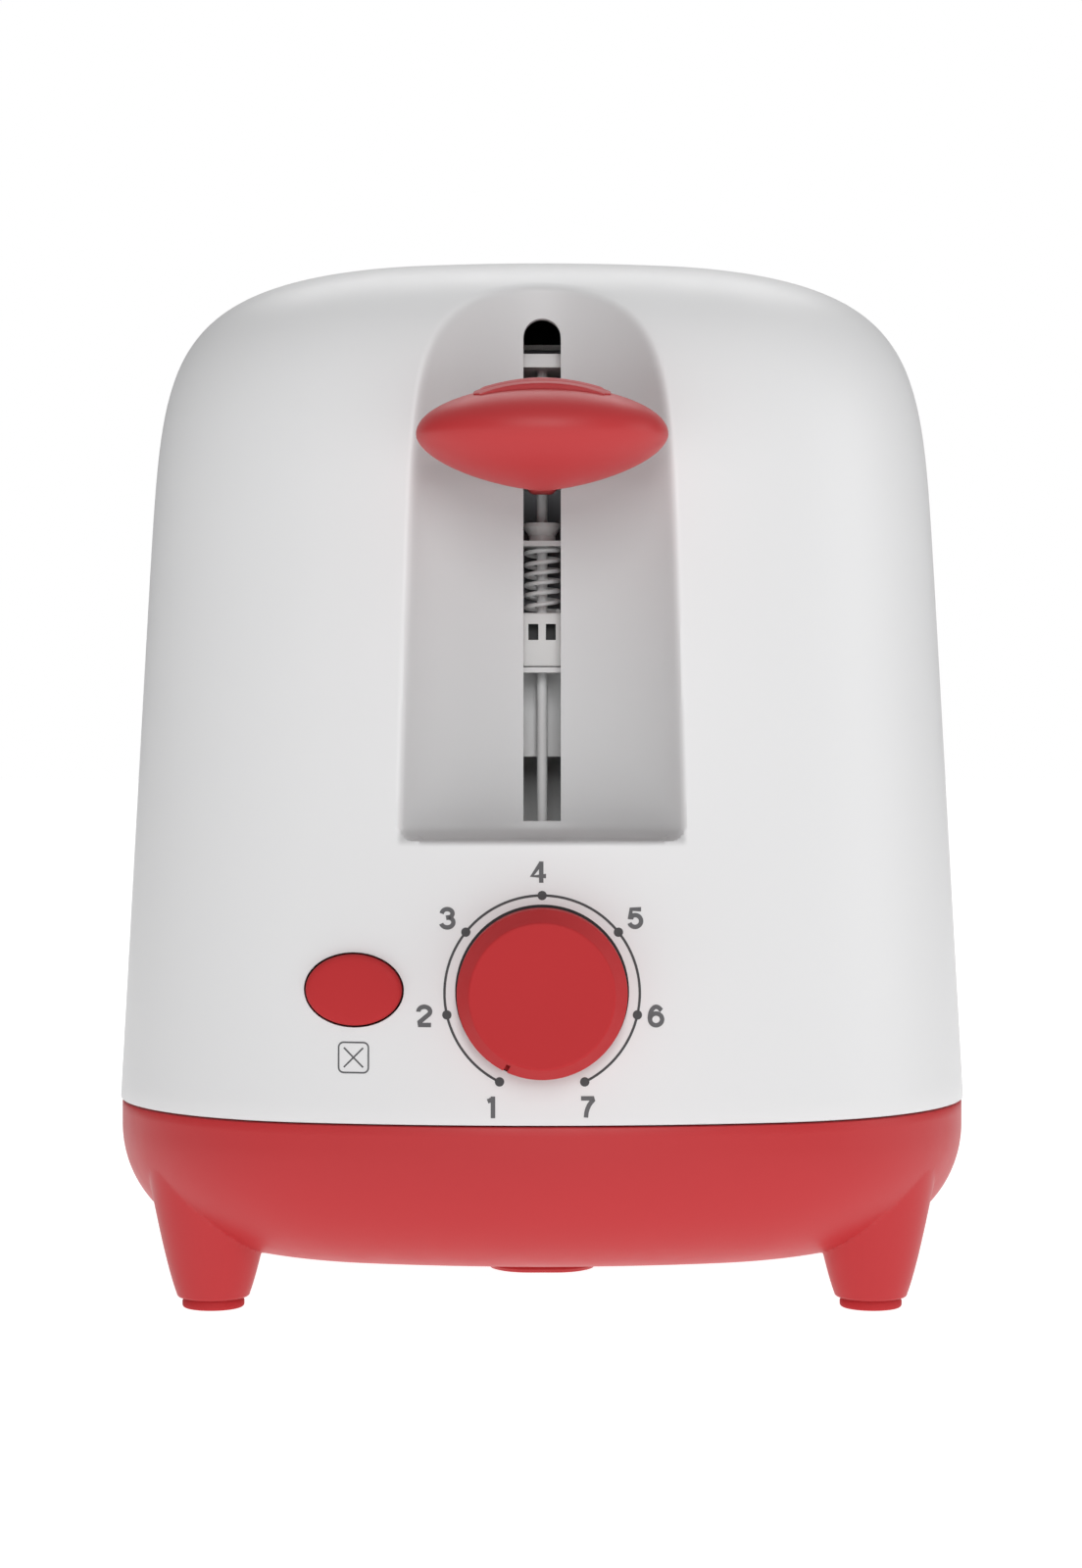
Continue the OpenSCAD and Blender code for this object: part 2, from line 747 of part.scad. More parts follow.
module chassis_screws() {
    place() color("silver") {
        for (s = [-1, 1])
            for (x = [-50, 50])
                translate([x, s * (plate_y + sheet + 1.6), plate_top - 12])
                    rotate([s * 90, 0, 0]) screw_up(1.2, 2.4, 1.6, 1.6);
        for (z = [52, 112])
            for (x = [-5, 5])
                translate([x, -plate_y - sheet - 2.8, z]) rotate([-90, 0, 0]) screw_up(1.2, 2.4, 1.6, 1.6);
    }
}

module mica(x) {
    place() color("tan") box(x - mica_t / 2, x + mica_t / 2, -plate_y, plate_y, 48, 180);
}
module mica_left_outer() {
    mica(-mica_out);
}
module mica_left_inner() {
    mica(-mica_in);
}
module mica_right_inner() {
    mica(mica_in);
}
module mica_right_outer() {
    mica(mica_out);
}

// Flat resistance ribbon that zigzags down the face of its mica board, on side s of it.
ribbon_rows = 9;
module ribbon(x, s) {
    face = x + s * mica_t / 2;
    x0 = min(face, face + s * 0.4);
    x1 = max(face, face + s * 0.4);
    pitch = 14;
    place() color("orange") for (i = [0:ribbon_rows - 1]) {
        z = 56 + pitch * i;
        box(x0, x1, -70, 70, z, z + 2);
        if (i < ribbon_rows - 1)
            box(x0, x1, i % 2 == 0 ? 68 : -70, i % 2 == 0 ? 70 : -68, z + 2, z + pitch);
    }
}
module ribbon_left_outer() {
    ribbon(-mica_out, 1);
}
module ribbon_left_inner() {
    ribbon(-mica_in, -1);
}
module ribbon_right_inner() {
    ribbon(mica_in, 1);
}
module ribbon_right_outer() {
    ribbon(mica_out, -1);
}

// Wire cage that steadies the bread; it pivots on its bottom wire.
module guide(x) {
    place() color("silver") {
        rod_y_axis(x, guide_z0, guide_pin_r, -plate_y - sheet - 0.8, plate_y + sheet + 0.8);
        rod_y_axis(x, guide_z1 - 2, 1, -68, 68);
        for (i = [-3:3])
            translate([x, 22 * i, guide_z0]) cylinder(r = 0.9, h = guide_z1 - 2 - guide_z0);
    }
}
module guide_left_outer() {
    guide(-well_x - guide_off);
}
module guide_left_inner() {
    guide(-well_x + guide_off);
}
module guide_right_inner() {
    guide(well_x - guide_off);
}
module guide_right_outer() {
    guide(well_x + guide_off);
}

// --- Crumb tray, supply ---
tray_l0 = -plate_y - 4;
tray_l1 = half_l - 20;
module crumb_tray() {
    place() color("lightsteelblue") {
        difference() {
            box(-tray_x, tray_x, tray_l0, tray_l1, tray_z0, tray_z0 + 8);
            box(-tray_x + 1, tray_x - 1, tray_l0 + 1, tray_l1 - 1, tray_z0 + 1, tray_z0 + 9);
        }
        // Tongue to the handle.
        box(-24, 24, tray_l1 - eps, half_l - 9, tray_z0, tray_z0 + 1.5);
    }
}

module tray_handle() {
    place() color([0.72, 0.2, 0.22]) {
        difference() {
            intersection() {
                loft(base_levels(0));
                box(-tray_x, tray_x, tray_l1 - 15, half_l + 5, tray_z0 - 1.5, rail_top - 0.8);
            }
            loft(base_levels(3));
        }
        // Shelf on the end of the tray's tongue, and the pull lip.
        box(-24, 24, half_l - 9, half_l - 5.5, tray_z0 - 0.5, tray_z0 + 4);
        box(-18, 18, half_l - 3, half_l + handle_out, 30.5, 33);
    }
}

module terminal_block() {
    rear = plate_y + sheet;
    place() color("ivory") difference() {
        box(-15, 15, rear, rear + 12, 60, 70);
        for (x = [-8, 0, 8])
            rod_y_axis(x, 65, 2, rear + 2, rear + 13);
    }
}

module cord_gland() {
    place() color("firebrick") difference() {
        union() {
            rod_y_axis(gland_x, gland_z, gland_hole - 0.05, half_l - 12, half_l);
            rod_y_axis(gland_x, gland_z, gland_hole + 2.4, half_l - 1.0, half_l + 2.4);
            rod_y_axis(gland_x, gland_z, gland_hole + 1.8, half_l - 12, half_l - 7.2);
        }
        rod_y_axis(gland_x, gland_z, 3.6, half_l - 13, half_l + 3);
    }
}

housing_shell();
base();
foot_front_left();
foot_front_right();
foot_rear_left();
foot_rear_right();
base_screws();
lever();
lever_grip_pad();
carriage_bracket();
upper_bush();
lower_bush();
buffer_spring();
armature_plate();
bread_rack_left();
bread_rack_right();
guide_rod();
rod_upper_bracket();
rod_lower_bracket();
spring_post();
return_spring();
magnet_core();
magnet_coil();
mains_switch();
circuit_board();
board_parts();
board_screws();
potentiometer_body();
potentiometer_shaft();
browning_knob();
cancel_switch();
switch_plunger();
cancel_button();
front_end_plate();
rear_end_plate();
left_reflector();
right_reflector();
top_slot_frame();
chassis_screws();
mica_left_outer();
mica_left_inner();
mica_right_inner();
mica_right_outer();
ribbon_left_outer();
ribbon_left_inner();
ribbon_right_inner();
ribbon_right_outer();
guide_left_outer();
guide_left_inner();
guide_right_inner();
guide_right_outer();
crumb_tray();
tray_handle();
terminal_block();
cord_gland();
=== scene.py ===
"""Looks of the two-slice pop-up toaster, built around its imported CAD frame.

Shapes are worked out in millimetres about the middle of the shell (front is -Y, feet on z = 0)
and put into the frame in metres by to_frame().
"""
import math

import bmesh
import bpy
import numpy as np
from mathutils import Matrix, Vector
from mathutils.bvhtree import BVHTree


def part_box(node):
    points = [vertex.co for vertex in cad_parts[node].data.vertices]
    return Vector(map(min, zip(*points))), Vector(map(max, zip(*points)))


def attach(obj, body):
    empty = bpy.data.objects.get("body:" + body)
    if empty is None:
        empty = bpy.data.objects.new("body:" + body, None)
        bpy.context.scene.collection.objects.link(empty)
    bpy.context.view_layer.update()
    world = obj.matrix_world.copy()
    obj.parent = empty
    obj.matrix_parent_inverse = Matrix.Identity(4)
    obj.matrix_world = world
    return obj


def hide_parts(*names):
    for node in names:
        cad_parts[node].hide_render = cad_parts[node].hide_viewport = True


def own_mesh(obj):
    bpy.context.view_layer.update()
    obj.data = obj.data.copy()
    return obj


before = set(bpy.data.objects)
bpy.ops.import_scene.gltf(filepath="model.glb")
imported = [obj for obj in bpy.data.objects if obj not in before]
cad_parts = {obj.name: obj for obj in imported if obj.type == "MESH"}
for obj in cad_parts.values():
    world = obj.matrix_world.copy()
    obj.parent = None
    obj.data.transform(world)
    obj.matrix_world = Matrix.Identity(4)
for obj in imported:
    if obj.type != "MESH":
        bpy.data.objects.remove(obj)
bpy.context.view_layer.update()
MM = 0.001


def node_mm(node):
    """Lowest and highest corner of a CAD node in millimetres."""
    lo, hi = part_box(node)
    return np.array(lo) / MM, np.array(hi) / MM


# --- Driving sizes, read from the frame ---
SHELL_LO, SHELL_HI = node_mm("housing_shell")
BASE_LO, BASE_HI = node_mm("base")
HALF_W = (SHELL_HI[0] - SHELL_LO[0]) / 2
HALF_L = (SHELL_HI[1] - SHELL_LO[1]) / 2
MID_Y = (SHELL_HI[1] + SHELL_LO[1]) / 2
SEAM_Z = SHELL_LO[2]
TOP_Z = SHELL_HI[2]
WALL = 2.5
EDGE_R = 0.35
DRAFT = 0.0543
CROWN_Z = 106.0
CORNER_R = 50.0
FACE_R = 192.0
SIDE_R = 3350.0
CROWN_POW = 7.8
SIDE_POW = 3.3

SCOOP_R = 29.0
SCOOP_Y = -HALF_L - 9.0
SCOOP_Z = 89.0
SLOT_HALF = 3.45
SLOT_Z = (92.2, 184.8)

KNOB_LO, KNOB_HI = node_mm("browning_knob")
KNOB_Z = (KNOB_LO[2] + KNOB_HI[2]) / 2
KNOB_R = (KNOB_HI[0] - KNOB_LO[0]) / 2
KNOB_BACK = KNOB_HI[1] - MID_Y
KNOB_FRONT = KNOB_LO[1] - MID_Y
# Shallow round pocket in the shell that the knob's skirt turns in.
POCKET_Z = KNOB_Z + 0.1
POCKET_R = KNOB_R + 0.08
POCKET_FLOOR = KNOB_BACK + 2.35
DIAL_Z = KNOB_Z - 0.2
DIAL_HALF = math.radians(154.2)

BUTTON_LO, BUTTON_HI = node_mm("cancel_button")
BUTTON_X = (BUTTON_LO[0] + BUTTON_HI[0]) / 2
BUTTON_Z = (BUTTON_LO[2] + BUTTON_HI[2]) / 2
BUTTON_W = (BUTTON_HI[0] - BUTTON_LO[0]) / 2
BUTTON_H = (BUTTON_HI[2] - BUTTON_LO[2]) / 2

LEVER_LO, LEVER_HI = node_mm("lever")
LEVER_W = LEVER_HI[0]
LEVER_CY = -HALF_L - 4.5
LEVER_FRONT = LEVER_CY - (LEVER_LO[1] - MID_Y)
LEVER_BACK = 11.5
LEVER_Z = 161.1

FOOT_LO, FOOT_HI = node_mm("foot_front_right")
LEG_X = (FOOT_LO[0] + FOOT_HI[0]) / 2
LEG_Y = -((FOOT_LO[1] + FOOT_HI[1]) / 2 - MID_Y)
FOOT_R = (FOOT_HI[0] - FOOT_LO[0]) / 2
FOOT_H = 2.0
BASE_Z = 9.2
BASE_ROUND = 24.0
BASE_LIP = 0.3

TRAY_LO, TRAY_HI = node_mm("crumb_tray")
GLAND_LO, GLAND_HI = node_mm("cord_gland")
GLAND_X = (GLAND_LO[0] + GLAND_HI[0]) / 2
GLAND_Z = (GLAND_LO[2] + GLAND_HI[2]) / 2
WELL_X = 24.0
WELL_W = 30.0
WELL_L = 150.0
WELL_ROUND = 6.0
BOSS_X = 66.0
BOSS_Y = 80.0
MOUTH_HALF = 54.5
MOUTH_Z = (20.0, 36.0)


# --- Materials ---
def feed(node, **inputs):
    """Fills inputs with values, or with sockets to link; an underscore in a name stands for a space."""
    for key, value in inputs.items():
        socket = node.inputs[key.replace("_", " ")]
        if isinstance(value, bpy.types.NodeSocket):
            node.id_data.links.new(value, socket)
        else:
            socket.default_value = (*value, 1) if socket.type == "RGBA" else value
    return node


def add_node(material, kind, **inputs):
    return feed(material.node_tree.nodes.new(kind), **inputs)


def new_material(name, color, rough, metallic=0.0):
    material = bpy.data.materials.new(name)
    material.use_nodes = True
    shader = material.node_tree.nodes["Principled BSDF"]
    feed(shader, Base_Color=color, Roughness=rough, Metallic=metallic)
    return material, shader


def object_space(material):
    return add_node(material, "ShaderNodeTexCoord").outputs["Object"]


def noise(material, scale, detail=3.0, stretch=None):
    """A noise texture in object space; scale is in features per metre."""
    place = object_space(material)
    if stretch:
        place = add_node(material, "ShaderNodeMapping", Vector=place, Scale=stretch).outputs["Vector"]
    return add_node(material, "ShaderNodeTexNoise", Vector=place, Scale=scale, Detail=detail,
                    Roughness=0.55).outputs["Fac"]


def ramp_between(material, fac, low, high):
    """Spreads a 0 to 1 factor between two values."""
    return add_node(material, "ShaderNodeMapRange", Value=fac, To_Min=low, To_Max=high).outputs["Result"]


def mix_colors(material, fac, first, second):
    node = add_node(material, "ShaderNodeMix")
    node.data_type = "RGBA"
    return feed(node, A=first, B=second, Factor=fac).outputs["Result"]


def bump(material, shader, height, distance, strength=0.5):
    node = add_node(material, "ShaderNodeBump", Height=height, Strength=strength, Distance=distance)
    feed(shader, Normal=node.outputs["Normal"])


def moulded_plastic(name, color, rough, tone=0.04, grain=2600, depth=0.00002, gloss=0.35):
    """Moulded plastic: a little tone drift, uneven gloss and a fine spark-eroded grain."""
    material, shader = new_material(name, color, rough)
    light = tuple(min(1, c * (1 + tone)) for c in color)
    dark = tuple(c * (1 - tone) for c in color)
    feed(shader, Base_Color=mix_colors(material, noise(material, 22, 2), dark, light),
         Roughness=ramp_between(material, noise(material, 160), rough - 0.05, rough + 0.06),
         Specular_IOR_Level=gloss)
    bump(material, shader, noise(material, grain, 2), depth)
    return material


def sheet_metal(name, color, rough, stretch=(1, 1, 30), spangle=0.06):
    """Rolled or plated metal: streaks along the rolling direction and blotchy gloss."""
    material, shader = new_material(name, color, rough, 1.0)
    grain = 700
    dark = tuple(c * (1 - spangle * 2) for c in color)
    light = tuple(min(1, c * (1 + spangle)) for c in color)
    streaks = noise(material, grain, 4, stretch)
    feed(shader, Base_Color=mix_colors(material, noise(material, 90, 4), dark, light),
         Roughness=ramp_between(material, streaks, rough - 0.08, rough + 0.12))
    bump(material, shader, noise(material, grain, 3, stretch), 0.00002, 0.35)
    return material


def shell_plastic():
    """Satin white with a fine texture; the lever recess is painted a darker grey, as painted shade."""
    material, shader = new_material("shell_white_satin", (0.71, 0.71, 0.715), 0.42)
    place = object_space(material)

    def calculate(kind, operation, *operands):
        node = add_node(material, kind)
        node.operation = operation
        for socket, value in zip(node.inputs, operands):
            if isinstance(value, tuple):
                socket.default_value = value
            else:
                material.node_tree.links.new(value, socket)
        return node.outputs

    def fade(value, start, end):
        node = add_node(material, "ShaderNodeMapRange")
        node.interpolation_type = "SMOOTHSTEP"
        return feed(node, Value=value, From_Min=start * MM, From_Max=end * MM).outputs["Result"]

    # The painted-shade mask is 1 within the recess radius and above its ledge, where the white is darkened to
    # grey to stand for the recess's shade.
    kind = "ShaderNodeVectorMath"
    offset = calculate(kind, "SUBTRACT", place, (0, (SCOOP_Y + MID_Y) * MM, 0))["Vector"]
    flat = calculate(kind, "MULTIPLY", offset, (1, 1, 0))["Vector"]
    inside = fade(calculate(kind, "LENGTH", flat)["Value"], SCOOP_R + 0.7, SCOOP_R - 0.5)
    height = add_node(material, "ShaderNodeSeparateXYZ", Vector=place).outputs["Z"]
    above = fade(height, SCOOP_Z - 1.2, SCOOP_Z + 0.4)
    painted_shade_mask = calculate("ShaderNodeMath", "MULTIPLY", inside, above)["Value"]
    outer = mix_colors(material, noise(material, 14, 2), (0.7, 0.7, 0.705), (0.72, 0.72, 0.725))
    # Painted shade: inside the recess the white gives way to a darker grey.
    feed(shader, Base_Color=mix_colors(material, painted_shade_mask, outer, (0.46, 0.46, 0.463)),
         Roughness=ramp_between(material, noise(material, 120), 0.38, 0.47))
    bump(material, shader, noise(material, 2400, 2), 0.00002, 0.45)
    return material


def mica_sheet():
    """Pressed mica flakes: cell-like plates of slightly different silvery tan, a little shiny."""
    material, shader = new_material("mica_board", (0.5, 0.42, 0.3), 0.38)
    cells = add_node(material, "ShaderNodeTexVoronoi", Vector=object_space(material), Scale=170.0)
    split = add_node(material, "ShaderNodeSeparateColor", Color=cells.outputs["Color"]).outputs
    feed(shader, Base_Color=mix_colors(material, split["Red"], (0.42, 0.35, 0.25), (0.58, 0.5, 0.38)),
         Roughness=ramp_between(material, split["Green"], 0.25, 0.5))
    bump(material, shader, cells.outputs["Distance"], 0.0001, 0.3)
    return material


def copper_winding():
    """Enamelled wire wound round the bobbin: fine horizontal turns."""
    material, shader = new_material("copper_winding", (0.5, 0.19, 0.07), 0.3, 0.9)
    wave = add_node(material, "ShaderNodeTexWave", Vector=object_space(material), Scale=900.0, Distortion=0.4)
    wave.bands_direction = "Z"
    turns = wave.outputs["Fac"]
    feed(shader, Base_Color=mix_colors(material, turns, (0.22, 0.07, 0.03), (0.62, 0.27, 0.1)))
    bump(material, shader, turns, 0.0002, 0.8)
    return material


def board_laminate():
    """Green solder mask over faint copper tracks."""
    material, shader = new_material("board_laminate", (0.02, 0.13, 0.045), 0.3)
    mapping = add_node(material, "ShaderNodeMapping", Vector=object_space(material),
                       Rotation=(math.pi / 2, 0, 0))
    brick = add_node(material, "ShaderNodeTexBrick", Vector=mapping.outputs["Vector"], Scale=130.0,
                     Color1=(0.02, 0.12, 0.04), Color2=(0.03, 0.2, 0.07), Mortar=(0.01, 0.07, 0.025))
    feed(shader, Base_Color=brick.outputs["Color"])
    bump(material, shader, brick.outputs["Fac"], 0.00005, 0.5)
    return material


MAT = {
    "shell": shell_plastic(),
    "base": moulded_plastic("base_red_satin", (0.475, 0.028, 0.032), 0.42, gloss=0.3),
    "control": moulded_plastic("control_red_satin", (0.44, 0.028, 0.031), 0.45, grain=3200),
    "knob": moulded_plastic("knob_red_satin", (0.45, 0.033, 0.036), 0.45, grain=3200, gloss=0.04),
    "grip": moulded_plastic("grip_red", (0.4, 0.018, 0.022), 0.5, grain=3600, depth=0.00004),
    "rubber": moulded_plastic("foot_red_rubber", (0.45, 0.02, 0.024), 0.72, tone=0.1, grain=1500,
                              depth=0.00008),
    "print": moulded_plastic("print_grey_ink", (0.105, 0.105, 0.11), 0.55, tone=0.12, grain=5000),
    "dark_print": moulded_plastic("print_dark_ink", (0.055, 0.055, 0.058), 0.55, tone=0.12, grain=5000),
    "bright": sheet_metal("bright_steel_wire", (0.66, 0.66, 0.67), 0.24, stretch=(1, 1, 1)),
    "zinc": sheet_metal("zinc_plated_sheet", (0.58, 0.6, 0.62), 0.34),
    "pale": moulded_plastic("white_coated_steel", (0.93, 0.93, 0.93), 0.42, tone=0.03, grain=900),
    # Painted shade: a dark steel colour that keeps the inside behind the slot dark.
    "shade_dark_steel": sheet_metal("shade_darkened_sheet", (0.2, 0.2, 0.21), 0.42),
    "mirror": sheet_metal("bright_reflector_sheet", (0.74, 0.73, 0.71), 0.2, spangle=0.04),
    "iron": sheet_metal("dark_core_iron", (0.22, 0.22, 0.23), 0.5, stretch=(1, 30, 1)),
    "nylon": moulded_plastic("white_nylon", (0.93, 0.93, 0.92), 0.45, tone=0.03, grain=1800),
    "black": moulded_plastic("black_phenolic", (0.018, 0.018, 0.02), 0.42, tone=0.2),
    "mica": mica_sheet(),
    "nichrome": sheet_metal("oxidised_ribbon", (0.3, 0.27, 0.25), 0.45, stretch=(1, 20, 1), spangle=0.2),
    "copper": copper_winding(),
    "board": board_laminate(),
}


# --- Mesh helpers ---
def to_frame(points):
    """Shell-centred millimetres to the frame's metres."""
    return (np.array(points, float) + (0, MID_Y, 0)) * MM


def new_object(name, data):
    obj = bpy.data.objects.new(name, data)
    bpy.context.scene.collection.objects.link(obj)
    return obj


def mesh_object(name, points, faces):
    """A closed mesh object from millimetre points, with even normals and smooth shading."""
    mesh = bpy.data.meshes.new(name)
    mesh.from_pydata(to_frame(points).tolist(), [], [list(f) for f in faces])
    tidy(mesh)
    return new_object(name, mesh)


def tidy(mesh, sharp=math.radians(32)):
    """Welds close vertices, evens the normals, and shades smooth except at sharp edges."""
    weld = 2e-6
    work = bmesh.new()
    work.from_mesh(mesh)
    bmesh.ops.remove_doubles(work, verts=work.verts, dist=weld)
    bmesh.ops.dissolve_degenerate(work, edges=work.edges, dist=weld)
    bmesh.ops.recalc_face_normals(work, faces=work.faces)
    work.to_mesh(mesh)
    work.free()
    mesh.polygons.foreach_set("use_smooth", [True] * len(mesh.polygons))
    mesh.set_sharp_from_angle(angle=sharp)
    mesh.update()


def skin(rings):
    """Points and faces of a closed solid through a stack of equal rings."""
    count = len(rings[0])
    points = np.concatenate(rings)
    faces = []
    for j in range(len(rings) - 1):
        for i in range(count):
            a, b = j * count + i, j * count + (i + 1) % count
            faces.append((a, b, b + count, a + count))
    faces.append(tuple(range(count - 1, -1, -1)))
    faces.append(tuple((len(rings) - 1) * count + i for i in range(count)))
    return points, faces


def ellipse(cx, cy, w, h, steps=64):
    a = np.linspace(0, 2 * math.pi, steps, endpoint=False)
    return np.stack([cx + w * np.cos(a), cy + h * np.sin(a)], 1)


def circle(cx, cy, r, steps):
    return ellipse(cx, cy, r, r, steps)


def at_height(outline, z):
    """An x, y outline as points at height z, one value or one for each point."""
    return np.column_stack([outline, np.full(len(outline), z)])


def revolve(profile, segments):
    """Closed solid of (radius, height) pairs about Z."""
    return skin([at_height(circle(0, 0, r, segments), h) for r, h in profile])


def arc(cx, cy, r, a0, a1, steps):
    """Points of an arc in degrees, both ends kept."""
    turns = [math.radians(a0 + (a1 - a0) * i / steps) for i in range(steps + 1)]
    return [(cx + r * math.cos(t), cy + r * math.sin(t)) for t in turns]


def quarter_round(inset, z, r, steps):
    """Insets and heights up a quarter round whose underside is flat at height z."""
    turns = np.radians(np.linspace(90, 0, steps))
    return [(inset + r * (1 - math.cos(t)), z + r * (1 - math.sin(t))) for t in turns]


def joined(parts):
    """One points, faces pair from several."""
    points, faces, start = [], [], 0
    for p, f in parts:
        points.append(np.asarray(p, float))
        faces += [tuple(i + start for i in face) for face in f]
        start += len(p)
    return np.concatenate(points), faces


def prism_y(outline, y0, y1):
    """Solid from an x, z outline between two depths."""
    outline = np.asarray(outline, float)
    return skin([np.stack([outline[:, 0], np.full(len(outline), y), outline[:, 1]], 1) for y in (y0, y1)])


def prism_z(outline, z0, z1):
    """Solid from an x, y outline between two heights."""
    return skin([at_height(outline, z) for z in (z0, z1)])


def rounded_rect(w, l, r, steps=8):
    corners = [(w / 2 - r, l / 2 - r, 0), (-w / 2 + r, l / 2 - r, 90),
               (-w / 2 + r, -l / 2 + r, 180), (w / 2 - r, -l / 2 + r, 270)]
    points = []
    for cx, cy, a in corners:
        points += arc(cx, cy, r, a, a + 90, steps)
    return np.array(points)


def boxes(*spans):
    """Joined boxes, each (x0, x1, y0, y1, z0, z1)."""
    return joined([prism_z([(x0, y0), (x1, y0), (x1, y1), (x0, y1)], z0, z1)
                   for x0, x1, y0, y1, z0, z1 in spans])


def cut(obj, cutter, operation="DIFFERENCE"):
    """Applies an exact boolean; cutter is an object, used up by it, or a solid's points and faces."""
    if isinstance(cutter, tuple):
        cutter = mesh_object("cutter", *cutter)
    modifier = obj.modifiers.new("cut", "BOOLEAN")
    modifier.operation = operation
    modifier.solver = "EXACT"
    modifier.object = cutter
    apply_modifiers(obj)
    bpy.data.objects.remove(cutter)
    tidy(obj.data)


def apply_modifiers(obj):
    """Keeps what the modifiers make as the object's own mesh."""
    graph = bpy.context.evaluated_depsgraph_get()
    mesh = bpy.data.meshes.new_from_object(obj.evaluated_get(graph))
    obj.modifiers.clear()
    obj.data = mesh


def bevelled(obj, width, segments=3, angle=40):
    """Rounds the edges that are sharper than the angle."""
    modifier = obj.modifiers.new("bevel", "BEVEL")
    modifier.width = width * MM
    modifier.segments = segments
    modifier.limit_method = "ANGLE"
    modifier.angle_limit = math.radians(angle)
    apply_modifiers(obj)
    tidy(obj.data, math.radians(50))


def soften_junction(obj, reach, rounds, low_angle, keep):
    """Turns the hard crease of a union into a small fillet: vertices near it are smoothed."""
    work = bmesh.new()
    work.from_mesh(obj.data)
    bmesh.ops.triangulate(work, faces=[f for f in work.faces if len(f.verts) > 4])
    creases = [e for e in work.edges if len(e.link_faces) == 2
               and e.calc_face_angle(0) > math.radians(low_angle) and keep(e.verts[0].co / MM)]
    on_crease = {vert for edge in creases for vert in edge.verts}
    grid = np.array([list(vert.co) for vert in on_crease])
    near = [vert for vert in work.verts if vert in on_crease
            or np.min(np.sum((grid - np.array(vert.co)) ** 2, 1)) < (reach * MM) ** 2]
    for _ in range(rounds):
        bmesh.ops.smooth_vert(work, verts=near, factor=0.5, use_axis_x=True, use_axis_y=True, use_axis_z=True)
    work.to_mesh(obj.data)
    work.free()
    tidy(obj.data, math.radians(50))


def paint_shade_black(obj, chosen):
    """Paints the faces that chosen(x, y, z, normal) picks, in millimetres, black: painted shade in gaps and
    hollows.
    """
    obj.data.materials.append(MAT["black"])
    for face in obj.data.polygons:
        x, y, z = face.center / MM
        if chosen(x, y - MID_Y, z, face.normal):
            face.material_index = 1


def piece(obj, body, material, slot, *nodes):
    """Finishes a piece: its material, the body it rides on, and the CAD nodes it stands for, which it hides.
    The slot is not used.
    """
    obj.data.materials.clear()
    obj.data.materials.append(MAT[material])
    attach(obj, body)
    if nodes:
        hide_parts(*nodes)


# --- Body outline and its rings ---
def outline_quarter():
    """Dense plan outline of the first quarter: side arc, corner arc, bowed end face."""
    side_cx = HALF_W - SIDE_R
    face_cy = HALF_L - FACE_R
    a, b = SIDE_R - CORNER_R, FACE_R - CORNER_R
    d = math.hypot(side_cx, face_cy)
    along = (b * b - a * a + d * d) / (2 * d)
    across = math.sqrt(b * b - along * along)
    ux, uy = side_cx / d, -face_cy / d
    cx, cy = ux * along + uy * across, face_cy + uy * along - ux * across
    a0 = math.asin(cy / a)
    a1 = math.acos(cx / b)
    points = [(side_cx + SIDE_R * math.cos(t), SIDE_R * math.sin(t)) for t in np.linspace(0, a0, 200)]
    points += [(cx + CORNER_R * math.cos(t), cy + CORNER_R * math.sin(t))
               for t in np.linspace(a0, a1, 400)[1:]]
    points += [(FACE_R * math.cos(t), face_cy + FACE_R * math.sin(t))
               for t in np.linspace(a1, math.pi / 2, 200)[1:]]
    return np.array(points)


def plan_loop(spacing):
    """Outline resampled so that neighbours are spacing(x, y) apart, starting at the front middle."""
    q = outline_quarter()
    front_right = np.stack([q[:, 0], -q[:, 1]], 1)[::-1]
    loop = np.concatenate([front_right, q[1:], np.stack([-q[:, 0], q[:, 1]], 1)[::-1][1:],
                           np.stack([-q[:, 0], -q[:, 1]], 1)[1:]])
    steps = np.diff(loop, axis=0)
    mids = (loop[1:] + loop[:-1]) / 2
    weight = np.hypot(steps[:, 0], steps[:, 1]) / np.array([spacing(x, y) for x, y in mids])
    total = np.concatenate([[0], np.cumsum(weight)])
    count = int(total[-1] // 4 + 1) * 4
    at = np.linspace(0, total[-1], count, endpoint=False)
    return np.stack([np.interp(at, total, loop[:, 0]), np.interp(at, total, loop[:, 1])], 1)


def ring(plan, inset, z):
    """The plan outline at height z, drawn in by inset."""
    k = inset / HALF_W
    scale = (1 - k, 1 - inset * (1 + (HALF_L / HALF_W - 1) * k * k) / HALF_L)
    return at_height(plan * scale, z)


def crown_level(angle, thick):
    """Inset and height of the crown's section at an angle from its spring line."""
    z = CROWN_Z + (TOP_Z - CROWN_Z - thick) * math.sin(angle) ** (2 / CROWN_POW)
    w = (HALF_W - thick - DRAFT * (z - SEAM_Z)) * max(math.cos(angle), 0) ** (2 / SIDE_POW)
    return HALF_W - w, z


def wall_inset(z, thick):
    """How far the wall stands in from the plan outline at height z."""
    if z <= CROWN_Z:
        return thick + DRAFT * (z - SEAM_Z)
    share = (z - CROWN_Z) / (TOP_Z - CROWN_Z - thick)
    return crown_level(math.asin(min(share, 1) ** (CROWN_POW / 2)), thick)[0]


def smooth_over_zero(d, h):
    """Maximum of d and 0 with a parabolic blend of half width h."""
    return np.where(d > h, d, np.where(d < -h, 0.0, (d + h) ** 2 / (4 * h)))


def smoothstep(t):
    """0 to 1 with soft ends."""
    t = np.clip(t, 0, 1)
    return t * t * (3 - 2 * t)


def scoop_depth(points, radius, soft):
    """How far a recess of this radius pushes each wall point back."""
    x = np.abs(points[:, 0])
    inside = np.sqrt(np.maximum(radius * radius - x * x, 0))
    wall_y = SCOOP_Y + np.where(x < radius, inside, -3 * (x - radius))
    depth = smooth_over_zero(wall_y - points[:, 1], soft)
    return np.where(points[:, 1] < 0, depth, 0)


